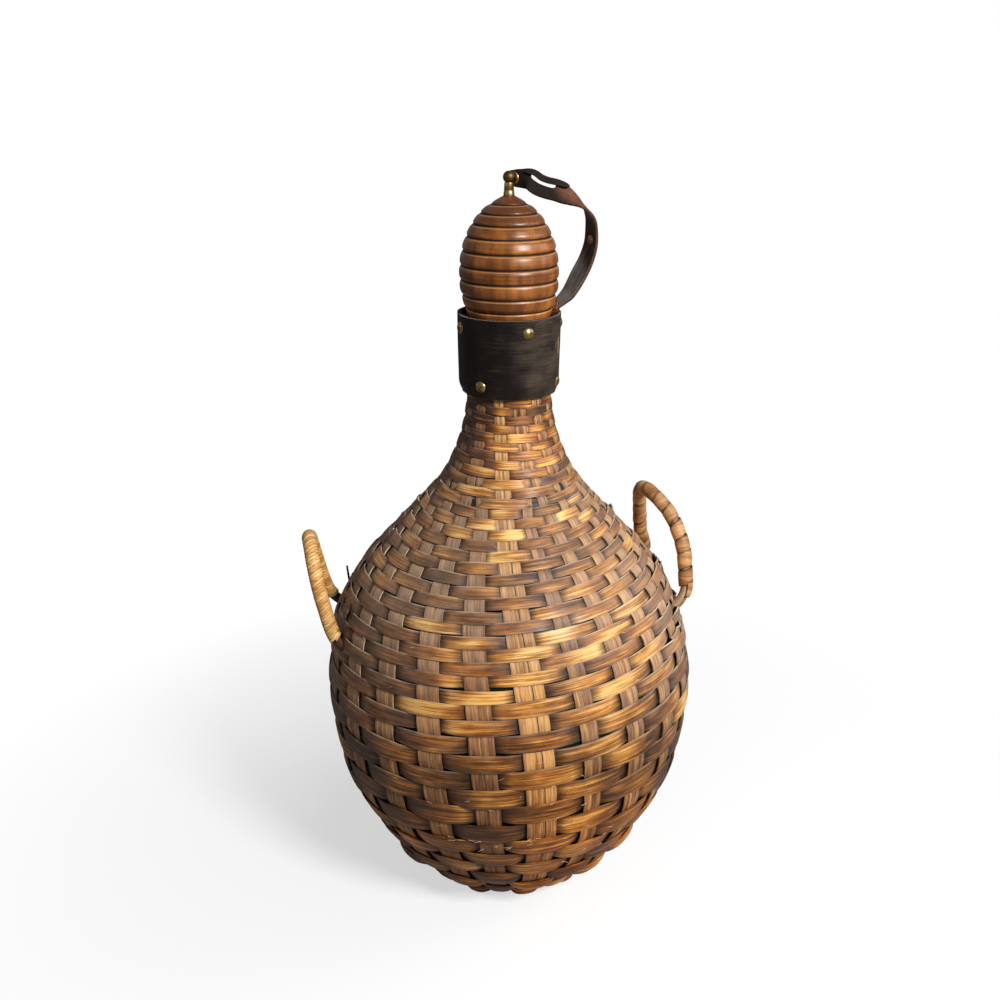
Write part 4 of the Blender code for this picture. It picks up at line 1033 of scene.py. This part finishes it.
# %% Collar
COLLAR_MM = [  # height and radius
    (349.4, 29.7), (350.6, 30.0), (353.0, 31.1), (356.0, 31.9), (362, 32.0), (380, 32.4), (399.0, 32.6),
]
collar_line, collar_runs = smooth_curve(np.array(COLLAR_MM) / 1000, 60)
BITE_HEIGHT, BITE_SPREAD, BITE_DEG = 0.3795, 0.0052, 15
END_LIFT, FACE_INSET, LINING_INSET = 0.0004, 0.0004, 0.0019
FACE_THICKNESS, LINING_THICKNESS = 0.0008, 0.0014


def collar_place(first_deg, last_deg, inset, torn):
    """How a strip is placed round the neck, between two angles. A torn one has the bite in its last end."""
    first, last = math.radians(first_deg), math.radians(last_deg)

    def place(share, side):
        height, radius = read_at((side + 1) / 2 * collar_runs[-1], collar_runs, collar_line).T
        ragged = 0.8 + 0.2 * np.sin(height * 2600)
        bite = np.radians(BITE_DEG) * np.exp(-((height - BITE_HEIGHT) / BITE_SPREAD) ** 4) * ragged
        end_share = np.clip(1 - (1 - share) * 14, 0, 1) * torn
        angle = first + (last - first) * share - bite * end_share
        ripple = 0.00018 * np.sin(angle * 5 + height * 60) + 0.0001 * np.sin(angle * 17)
        radius = radius - inset + ripple + END_LIFT * end_share**3
        points = np.stack([radius * np.sin(angle), -radius * np.cos(angle), height], -1)
        # A painted sheen on the right of the collar, where the lamp shines, half as strong behind.
        scuffed = eased(np.sin(angle), -0.1, 0.6) * np.where(np.cos(angle) > 0, 1.0, 0.5)
        return points, np.stack([angle * 0.032, height], 1), {"edge": np.abs(side) ** 8, "scuffed": scuffed}

    return place


outer = bent_strip("collar_strip", 170, 24, collar_place(-285, 74.5, FACE_INSET, True))
under = bent_strip("collar_lining", 96, 8, collar_place(0, 360, LINING_INSET, False))
LINING_FINISH = flesh_finish("dark_collar_lining", tint(26, 17, 13), tint(62, 44, 34))
add_piece(outer, (COLLAR_FINISH, FLESH_FINISH, RIM_FINISH), ["leather_collar"],
          thickness=FACE_THICKNESS)
add_piece(under, (FLESH_FINISH, LINING_FINISH, LINING_FINISH), thickness=LINING_THICKNESS)
print("collar", len(outer.polygons), "faces")

# %% [markdown]
# ## The leather tether
# A strap rises from behind the collar, twists as it bends over, and is tied to the knob. Its black grain
# faces the stopper and its brown flesh faces out. It is made flat, with its slot and its eyelet hole punched,
# and then every point is carried to its place along the strap's path. The path, the strap's width and its
# turn are those of the CAD model. The strap rides on no body; it is baked where it lies.

# %% Strap path
STRAP_MM = [  # middle line, the direction across the strap, and half its width
    (27.6, 4.9, 382.5, 0.17, -0.98, 0.00, 4.6), (27.6, 4.9, 387.9, 0.17, -0.98, 0.00, 4.9),
    (27.5, 4.9, 393.4, 0.17, -0.98, 0.02, 5.2), (27.6, 4.9, 398.8, 0.16, -0.98, -0.06, 5.5),
    (30.8, 4.5, 403.1, 0.16, -0.95, -0.25, 5.9), (34.7, 4.1, 406.9, 0.24, -0.91, -0.34, 6.2),
    (38.2, 3.6, 411.1, 0.39, -0.85, -0.34, 6.5), (43.2, 2.5, 420.7, 0.52, -0.78, -0.36, 6.5),
    (47.8, 1.2, 430.6, 0.49, -0.80, -0.33, 6.5), (50.5, -0.2, 441.0, 0.49, -0.86, -0.13, 6.5),
    (50.5, -1.2, 451.9, 0.41, -0.91, -0.04, 6.5), (49.4, -1.6, 457.2, 0.29, -0.96, 0.04, 6.5),
    (46.6, -2.0, 461.8, 0.08, -1.00, -0.01, 6.5), (42.5, -2.2, 465.4, -0.10, -0.98, -0.18, 6.5),
    (37.8, -2.3, 468.1, -0.22, -0.86, -0.47, 6.5), (32.8, -2.2, 470.4, -0.34, -0.64, -0.69, 6.5),
    (27.7, -2.0, 472.4, -0.28, -0.52, -0.81, 6.5), (22.5, -1.5, 473.8, -0.31, -0.40, -0.86, 6.5),
    (17.4, -1.0, 475.8, -0.46, -0.31, -0.83, 6.5), (12.8, -0.9, 478.7, -0.45, -0.21, -0.87, 6.2),
    (8.1, 1.6, 479.0, 0.04, -0.03, -1.00, 5.5), (3.4, 4.3, 479.0, 0.0, 0.0, -1.00, 4.8),
    (-1.4, 7.0, 479.0, 0.0, 0.0, -1.00, 1.9),
]
strap_line, strap_runs = smooth_curve(np.array(STRAP_MM) * ([0.001] * 3 + [1] * 3 + [0.001]), 400)
strap_ahead = np.gradient(strap_line[:, :3], strap_runs, axis=0)
STRAP_LENGTH = strap_runs[-1]
print(f"strap {STRAP_LENGTH * 1000:.1f} mm")


# %% Punching a hole
def punched(shape, centre, half_length, radius, cell):
    """Takes a round-ended hole out of a flat grid, and draws the faces beside it onto the hole's edge."""

    def gap(point):
        along = min(max(point.x - centre[0], -half_length), half_length)
        nearest = Vector((centre[0] + along, centre[1], 0))
        return nearest, (point - nearest).length

    inside = [f for f in shape.faces if gap(f.calc_center_median())[1] < radius]
    bmesh.ops.delete(shape, geom=inside, context="FACES")
    for vert in shape.verts:
        nearest, distance = gap(vert.co)
        if vert.is_boundary and distance < radius + cell:
            vert.co = nearest + (vert.co - nearest).normalized() * radius


print("hole helper ready")


# %% The strap, cut out flat
TIP_RADIUS, EYE_HOLE = 0.0047, 0.0026
SLOT_BACK, SLOT_ASIDE, SLOT_HALF_LENGTH, SLOT_RADIUS = 0.0195, -0.0026, 0.00625, 0.0020
TORN_LENGTH, TORN_DEPTH = 0.004, 0.0015


def strap_half(run):
    """Half the strap's width at a run. Its upper end is round."""
    left = np.clip(STRAP_LENGTH - run, TIP_RADIUS / 12, None)
    rounded = np.sqrt(np.clip(TIP_RADIUS**2 - (TIP_RADIUS - np.minimum(left, TIP_RADIUS)) ** 2, 0, None))
    return np.where(left < TIP_RADIUS, rounded, np.interp(run, strap_runs, strap_line[:, 6]))


flat = bmesh.new()
bmesh.ops.create_grid(flat, x_segments=236, y_segments=20, size=1)
flat.loops.layers.uv.new("cane")
for vert in flat.verts:
    run = STRAP_LENGTH * (vert.co.x + 1) / 2
    torn = max(0, 1 - run / TORN_LENGTH) * TORN_DEPTH * math.sin(vert.co.y * 23)
    vert.co = (run + torn, vert.co.y * float(strap_half(run)), 0)
EYE_RUN = STRAP_LENGTH - TIP_RADIUS
punched(flat, (EYE_RUN - SLOT_BACK, SLOT_ASIDE), SLOT_HALF_LENGTH, SLOT_RADIUS, 0.0007)
punched(flat, (EYE_RUN, 0), 0, EYE_HOLE, 0.0007)
strap_mesh = ended(flat, "tether_strap")
print("slot and eyelet hole punched")

# %% The strap, bent to its path
STRAP_CUP, STRAP_THICKNESS = 0.0004, 0.0016
# Up to the first pair of shares the strap carries a painted grey reflection; from the second its flesh is
# blackened.
SHEEN_UP_TO, BLACKENED_FROM = (0.28, 0.46), (0.70, 0.80)  # shares of the strap's length, with a soft step each
run, aside, _ = flat_points(strap_mesh).T
off = aside / np.maximum(strap_half(run), 1e-4)
path = read_at(run, strap_runs, strap_line)
heading = unit(read_at(run, strap_runs, strap_ahead))
across = path[:, 3:6]
across = unit(across - heading * (across * heading).sum(1)[:, None])
face = np.cross(heading, across)
placed = path[:, :3] + across * aside[:, None] - face * (STRAP_CUP * off**2)[:, None]
strap_mesh.vertices.foreach_set("co", placed.ravel())
set_map(strap_mesh, np.stack([run, aside], 1))
set_facts(strap_mesh, {
    "edge": np.abs(off),
    "scuffed": 1.5 * (1 - eased(run / STRAP_LENGTH, *SHEEN_UP_TO)),
    "blackened": eased((run + aside * 1.2) / STRAP_LENGTH, *BLACKENED_FROM),
})
strap_mesh.shade_smooth()
# The strap's grey second colour is a painted reflection on its lower part, and the pale of its cut edges.
STRAP_FINISH = leather_finish("black_strap_leather", tint(20, 18, 17), tint(150, 146, 142), 0.32, 0.5)
SUEDE_FINISH = flesh_finish("strap_suede", tint(58, 31, 20), tint(124, 80, 56))
strap = add_piece(strap_mesh, (SUEDE_FINISH, STRAP_FINISH, FLESH_FINISH), ["leather_strap"],
                  body=None, thickness=STRAP_THICKNESS)
print("strap", len(strap_mesh.polygons), "faces")


# %% Bake the strap in place
def made_final(piece):
    """Swaps a piece's mesh for the one its modifiers make."""
    bpy.context.view_layer.update()
    solid_mesh = bpy.data.meshes.new_from_object(piece.evaluated_get(bpy.context.evaluated_depsgraph_get()))
    piece.modifiers.clear()
    piece.data = solid_mesh
    return piece


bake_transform(made_final(strap))

# %% Rivet
RIVET_SHARE = 0.475  # of the strap's length, from the collar
RIVET_MM = dome(3.1, 0.95, 1.4, 1.2, 10) + [
    (3.0, 0.85), (1.0, 0.85), (1.0, -0.85), (2.2, -0.9), (2.2, -1.15), (1.6, -1.35), (0, -1.4),
]
rivet_run = STRAP_LENGTH * RIVET_SHARE
rivet_place = Vector(read_at(rivet_run, strap_runs, strap_line)[:3])
nearest = int(np.argmin(np.abs(run - rivet_run) + np.abs(aside)))
rivet = stood(spun("strap_dome_rivet", in_metres(RIVET_MM), 28), rivet_place, -Vector(face[nearest]))
rivet_piece = add_piece(rivet, DARK_BRASS_FINISH, ["strap_rivet"], body=None)
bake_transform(rivet_piece)
print("rivet at", [round(c * 1000, 1) for c in rivet_place])

# %% The strap's torn tail
TAIL_START, TAIL_SHARE, TAIL_ASIDE, TAIL_HALF, TAIL_THICKNESS = 0.905, 0.185, -0.0042, 0.0019, 0.0011


def tail_place(share, side):
    """A frayed strip that lies on the strap's brown side, beside the slot."""
    narrow = np.sqrt(np.clip(1 - ((share - 0.5) * 2) ** 6, 0.02, 1))
    run = (TAIL_START - TAIL_SHARE * share) * STRAP_LENGTH
    path = read_at(run, strap_runs, strap_line)
    above = np.cross(read_at(run, strap_runs, strap_ahead), path[:, 3:6])
    aside, lift = TAIL_ASIDE + side * TAIL_HALF * narrow, 0.0013 + 0.0026 * np.abs(share - 0.35)
    points = path[:, :3] + path[:, 3:6] * aside[:, None] + above * lift[:, None]
    return points, np.stack([share * 0.02, side * 0.002], 1), {"blackened": 0.98}


tail = add_piece(bent_strip("strap_tail", 40, 6, tail_place), SUEDE_FINISH, body=None,
                 thickness=TAIL_THICKNESS)
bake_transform(made_final(tail))
print("tail laid on the strap")

# %% [markdown]
# ## Dark cane ends for painted shade, and torn fibres
# Where the left handle goes into the weave, dark strips shaped as ends of cane lie under it and fill its gaps
# as painted shade. The strap's root, where it comes out of the collar, sheds short reddish fibres.

# %% Dark cane ends as painted shade
SHADE_STRIPS, SHADE_STRIPS_DEG, SHADE_STRIPS_HEIGHTS = 22, (-102, -64), (0.180, 0.208)
SHADE_STRIPS_INSET, SHADE_STRIPS_LENGTHS, SHADE_STRIPS_WIDTH = 0.0028, (0.010, 0.016), 0.0026
turns, heights = np.radians(chance.uniform(*SHADE_STRIPS_DEG, SHADE_STRIPS)), chance.uniform(*SHADE_STRIPS_HEIGHTS, SHADE_STRIPS)
roots = wall_place(run_at_height(heights), turns, SHADE_STRIPS_INSET)
ways = np.stack([chance.normal(0, spread, SHADE_STRIPS) for spread in (0.2, 1, 1)], 1) + (0.05, 0, 0)
lengths = chance.uniform(*SHADE_STRIPS_LENGTHS, SHADE_STRIPS)
# dark strips that paint the shade in the gaps where the left handle goes into the weave
hairs("shade_cane_ends", roots, unit(ways), lengths, SHADE_STRIPS_WIDTH, LINING_FINISH)
print(SHADE_STRIPS, "broken ends")

# %% Fibres at the strap's root
FIBRE_FINISH = flesh_finish("torn_leather_fibre", tint(104, 54, 28), tint(190, 124, 84))
FIBRES, FIBRE_LENGTHS, FIBRE_WIDTH = 110, (0.002, 0.0042), 0.00045
ROOT_MM = [(26.3, -1.5, 396), (30.5, 7.5, 403)]  # two corners of the box that they grow from
roots = np.stack([chance.uniform(*span, FIBRES) for span in zip(*np.array(ROOT_MM) / 1000)], 1)
ways = chance.normal(0, 0.6, (FIBRES, 3)) + (0.1, -0.5, 0.9)
lengths = chance.uniform(*FIBRE_LENGTHS, FIBRES)
hairs("root_fibres", roots, unit(ways), lengths, FIBRE_WIDTH, FIBRE_FINISH)
print(FIBRES, "fibres")

# %% [markdown]
# ## The rattan handles
# Each handle is a bent rattan cane whose ends go into the weave. The left one is wound with fine cane, turn
# against turn; the right one with a wide, darker strip that has begun to come loose. A winding is a grid
# whose points go round the handle's path as a helix. Directions square to the path are carried along it so
# that the winding doesn't twist on its own.

# %% Handle paths
LEFT_MM = [
    (-110, 8.4, 190.5), (-115.3, 8.4, 194.0), (-120.8, 8.2, 198.2), (-124.4, 7.2, 203.0),
    (-126.3, 5.5, 208.5), (-127.5, 3.7, 213.9), (-128.8, 2.2, 220.4), (-129.9, 0.8, 226.8),
    (-130.7, -1.4, 233.1), (-131.2, -4.5, 239.1), (-131.4, -8.1, 244.8), (-131.4, -12.0, 249.7),
    (-131.2, -16.8, 253.5), (-130.6, -23.0, 255.0), (-129.0, -29.1, 253.5), (-127.6, -33.7, 250.2),
    (-126.3, -37.4, 244.8), (-124.8, -40.6, 239.1), (-123.3, -43.4, 233.1), (-121.8, -45.1, 226.8),
    (-120.3, -46.1, 220.4), (-118.5, -47.1, 213.9), (-116.8, -48.3, 207.5), (-114.9, -49.0, 201.2),
    (-112.4, -49.2, 195.2), (-108.6, -48.4, 189.4), (-104.5, -46.6, 184.5),
]
RIGHT_MM = [
    (104, -17.6, 197.0), (109.5, -17.2, 201.6), (115.2, -16.6, 207.0), (118.2, -15.6, 214.0),
    (118.5, -14.0, 222.1), (118.0, -12.0, 229.6), (117.6, -9.1, 236.7), (116.4, -5.4, 243.3),
    (114.3, -1.6, 249.7), (111.7, 2.3, 255.8), (108.3, 6.2, 261.5), (103.8, 10.0, 266.6),
    (99.0, 14.1, 270.9), (94.5, 19.8, 273.4), (92.0, 26.8, 272.0), (91.4, 33.0, 267.6), (91.7, 37.6, 261.4),
    (92.4, 41.8, 255.0), (93.2, 45.8, 248.4), (94.0, 49.5, 241.7), (94.7, 52.8, 234.8), (95.9, 55.7, 227.7),
    (98.0, 58.7, 220.9), (99.6, 61.4, 214.1), (98.6, 62.4, 207.4), (95.0, 60.8, 202.0), (90.5, 58.4, 197.5),
]


def carried(points):
    """A path's points and runs, with two directions square to it that are carried along without a twist."""
    line, runs = smooth_curve(np.array(points) / 1000, 600)
    heading = unit(np.gradient(line, axis=0))
    first = np.cross(heading[0], (0, 0, 1.0))
    firsts = []
    for ahead in heading:
        first = unit(first - ahead * first.dot(ahead))
        firsts.append(first)
    firsts = np.array(firsts)
    return line, runs, firsts, np.cross(heading, firsts)


def round_path(path, run, angle, radius):
    """Points round a path, at a run along it, an angle about it and a distance from it."""
    line, runs, firsts, seconds = path
    middle, first, second = [read_at(run, runs, table) for table in (line, firsts, seconds)]
    turn = angle[:, None]
    return middle + (first * np.cos(turn) + second * np.sin(turn)) * radius[:, None]


HANDLES = {"left": carried(LEFT_MM), "right": carried(RIGHT_MM)}
print({side: round(float(path[1][-1]) * 1000) for side, path in HANDLES.items()}, "mm of rattan")

# %% Handle finishes
# The handle finishes paint shade along the edges of their strips, most between the turns of the light
# winding.
RATTAN_FINISH = cane_finish(
    "bare_rattan", ((72, 46, 26), (112, 78, 48), (152, 112, 74), (184, 146, 104), (216, 184, 146)),
    tint(50, 32, 20), tint(190, 165, 140), streak=0.7, rough=0.6, coat=0.0,
)
LIGHT_WRAP_FINISH = cane_finish(
    "light_cane_winding", ((120, 72, 30), (168, 112, 52), (206, 152, 82), (230, 184, 114), (244, 210, 152)),
    tint(80, 42, 16), tint(214, 184, 140), streak=0.35, coat=0.05, hairline=0.1, edge_shade=0.95,
)
BROWN_WRAP_FINISH = cane_finish(
    "brown_cane_winding", ((84, 54, 28), (128, 86, 46), (164, 116, 66), (190, 142, 90), (216, 172, 118)),
    tint(46, 27, 16), tint(196, 164, 132), streak=0.6, rough=0.45, coat=0.05, hairline=0.3, edge_shade=0.6,
)
print("handle finishes written")


# %% Rattan cores
CORE_RADIUS = 0.0033
BURIED = {"left": 0.015, "right": 0.007}


def core(side):
    """One bent rattan cane: a strip rolled round the path, welded where its two edges meet and closed at both
    ends.
    """
    path, length = HANDLES[side], HANDLES[side][1][-1]

    def place(share, around):
        angle = np.pi * around
        run = length * share
        radius = CORE_RADIUS * (1 + 0.03 * np.sin(run * 190) + 0.02 * np.sin(angle * 3 + run * 60))
        shown = eased(np.minimum(share, 1 - share) * length, BURIED[side], BURIED[side] + 0.004)
        tone = 0.5 + 0.3 * np.sin(run * 70)
        # crest falls to nothing where the cane goes into the weave, so the finish paints shade there
        facts = {"crest": 0.4 * shown, "tone": tone, "length_tone": 0.5, "glow": 0.4, "dust": 0.3}
        return round_path(path, run, angle, radius), np.stack([run, angle * CORE_RADIUS], 1), facts

    shape = bmesh.new()
    shape.from_mesh(bent_strip("rolled_strip", 90, 18, place, sharp=False))
    bmesh.ops.remove_doubles(shape, verts=shape.verts, dist=1e-6)
    bmesh.ops.holes_fill(shape, edges=[e for e in shape.edges if e.is_boundary])
    bmesh.ops.recalc_face_normals(shape, faces=shape.faces)
    mesh = ended(shape, f"{side}_rattan")
    mesh.shade_smooth()
    return add_piece(mesh, RATTAN_FINISH, [f"{side}_handle_core"])


for side in HANDLES:
    print(side, len(core(side).data.polygons), "faces")


# %% Windings
WINDING_RADIUS, WINDING_THICKNESS, WINDING_CROWN = 0.0038, 0.0009, 0.0002


def winding(side, finish, turns, bare_ends, width_share, unrest, slant, step):
    """A strip wound about a handle between its bare ends, each turn stepping up over its neighbour."""
    path = HANDLES[side]
    first, last = bare_ends[0], path[1][-1] - bare_ends[1]
    pitch = (last - first) / (turns + 1)
    counted = np.arange(turns + 3)
    wobble, tones, lifts = [chance.uniform(low, 1, turns + 3) for low in (-1, 0, 0)]

    def place(share, edge):
        turn = turns * share
        angle = 2 * np.pi * turn
        run = first + pitch / 2 + pitch * turn + edge * pitch * width_share / 2
        run = run + np.interp(turn, counted, wobble) * unrest * pitch + slant * pitch * np.sin(angle)
        lift = step * (0.4 + 0.8 * np.interp(turn, counted, lifts)) * (edge + 1) / 2
        radius = WINDING_RADIUS + WINDING_THICKNESS / 2 + lift - WINDING_CROWN * edge**2
        flat = np.stack([angle * 0.0045, edge * pitch / 2 + turn * 0.01], 1)
        facts = {
            # crest falls at the edges of each turn, so the finish paints shade between the turns
            "crest": np.clip(1.0 - 0.95 * np.abs(edge) ** 5, 0, 1), "edge": np.abs(edge), "glow": 0.6,
            "tone": tones[np.round(turn).astype(int)], "length_tone": 0.5 + 0.3 * np.sin(turn * 0.9),
            "dust": 0.2,
        }
        return round_path(path, run, angle, radius), flat, facts

    mesh = bent_strip(f"{side}_winding", turns * 16, 4, place)
    return add_piece(mesh, finish, [f"{side}_handle_wrap"], thickness=WINDING_THICKNESS)


winding("left", LIGHT_WRAP_FINISH, turns=72, bare_ends=(0.0150, 0.0132),
        width_share=0.90, unrest=0.05, slant=0.85, step=0)
winding("right", BROWN_WRAP_FINISH, turns=15, bare_ends=(0.0175, 0.0125),
        width_share=0.985, unrest=0.16, slant=-0.05, step=0.0005)
print("handles wound")

# %% [markdown]
# ## The bottle and its cork
# The green glass is seen only through gaps in the weave, and at its lip when the stopper is lifted. The
# bottle is one closed profile, outside and inside. The cork under the stopper's head is a short, slightly
# tapered plug.

# %% Bottle
SKIN_INSET, FOOT_SKIN_INSET, BORE_INSET = 0.0037, 0.0045, 0.0092
WALL_START, LIP_HEIGHT = 0.012, 0.004
low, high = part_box("glass_bottle")
glass_run = np.linspace(run_at_height(WALL_START), RUN[-1] - TOP_GAP, 60)


def glass_line(inset, foot):
    """The bottle's profile at a depth under the cover, between its foot and its lip."""
    line = wall_place(glass_run, 0 * glass_run, inset)
    return [(-y, z) for _, y, z in line if low.z + foot < z < high.z - LIP_HEIGHT]


outside = glass_line(np.where(glass_run > 0.1, SKIN_INSET, FOOT_SKIN_INSET), 0.004)
inside = glass_line(BORE_INSET, 0.009)
neck_out, neck_in = outside[-1][0], inside[-1][0]
base = [(0, low.z + 0.0012), (outside[0][0] - 0.012, low.z + 0.0006), (outside[0][0] - 0.003, low.z + 0.0015)]
lip = [(neck_out - 0.0004, high.z - 0.0012), ((neck_out + neck_in) / 2, high.z - 0.0001),
       (neck_in + 0.0004, high.z - 0.0012)]
bottle = spun("green_glass_bottle", base + outside + lip + inside[::-1] + [(0, low.z + 0.0075)], 72)
material, w, ends = new_finish("green_glass", Transmission_Weight=0.25, IOR=1.5, Specular_IOR_Level=0.25)
seeds = w.noise(w.place(), 60.0)
ends(Base_Color=w.blend(seeds, tint(11, 20, 9), tint(22, 36, 17)), Roughness=seeds * 0.15 + 0.3,
     Normal=w.bumped(seeds, 0.0006, 0.3))
add_piece(bottle, material, ["glass_bottle"])
print("bottle", len(bottle.polygons), "faces")

# %% Cork
low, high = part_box("stopper_cork")
wide, top = high.x - 0.00005, high.z - 0.0003
plug = [(0, low.z), (wide - 0.0026, low.z), (wide - 0.0018, low.z + 0.0008), (wide, top), (0, top)]
material, w, ends = new_finish("cork", Roughness=0.85)
cells, pits = w.noise(w.place(), 900.0, 3.0, 0.6), w.streaks(w.place(), (260, 260, 700))
colour = w.blend(cells.clamped(0.3, 0.7), tint(150, 108, 68), tint(204, 164, 118))
ends(Base_Color=w.blend(pits.clamped(0.62, 0.72), colour, tint(70, 42, 24)),
     Normal=w.bumped(cells - pits, 0.0004, 0.6))
add_piece(spun("cork_plug", plug, 48), material, ["stopper_cork"], "stopper")
print("cork", round(1000 * (top - low.z)), "mm long")
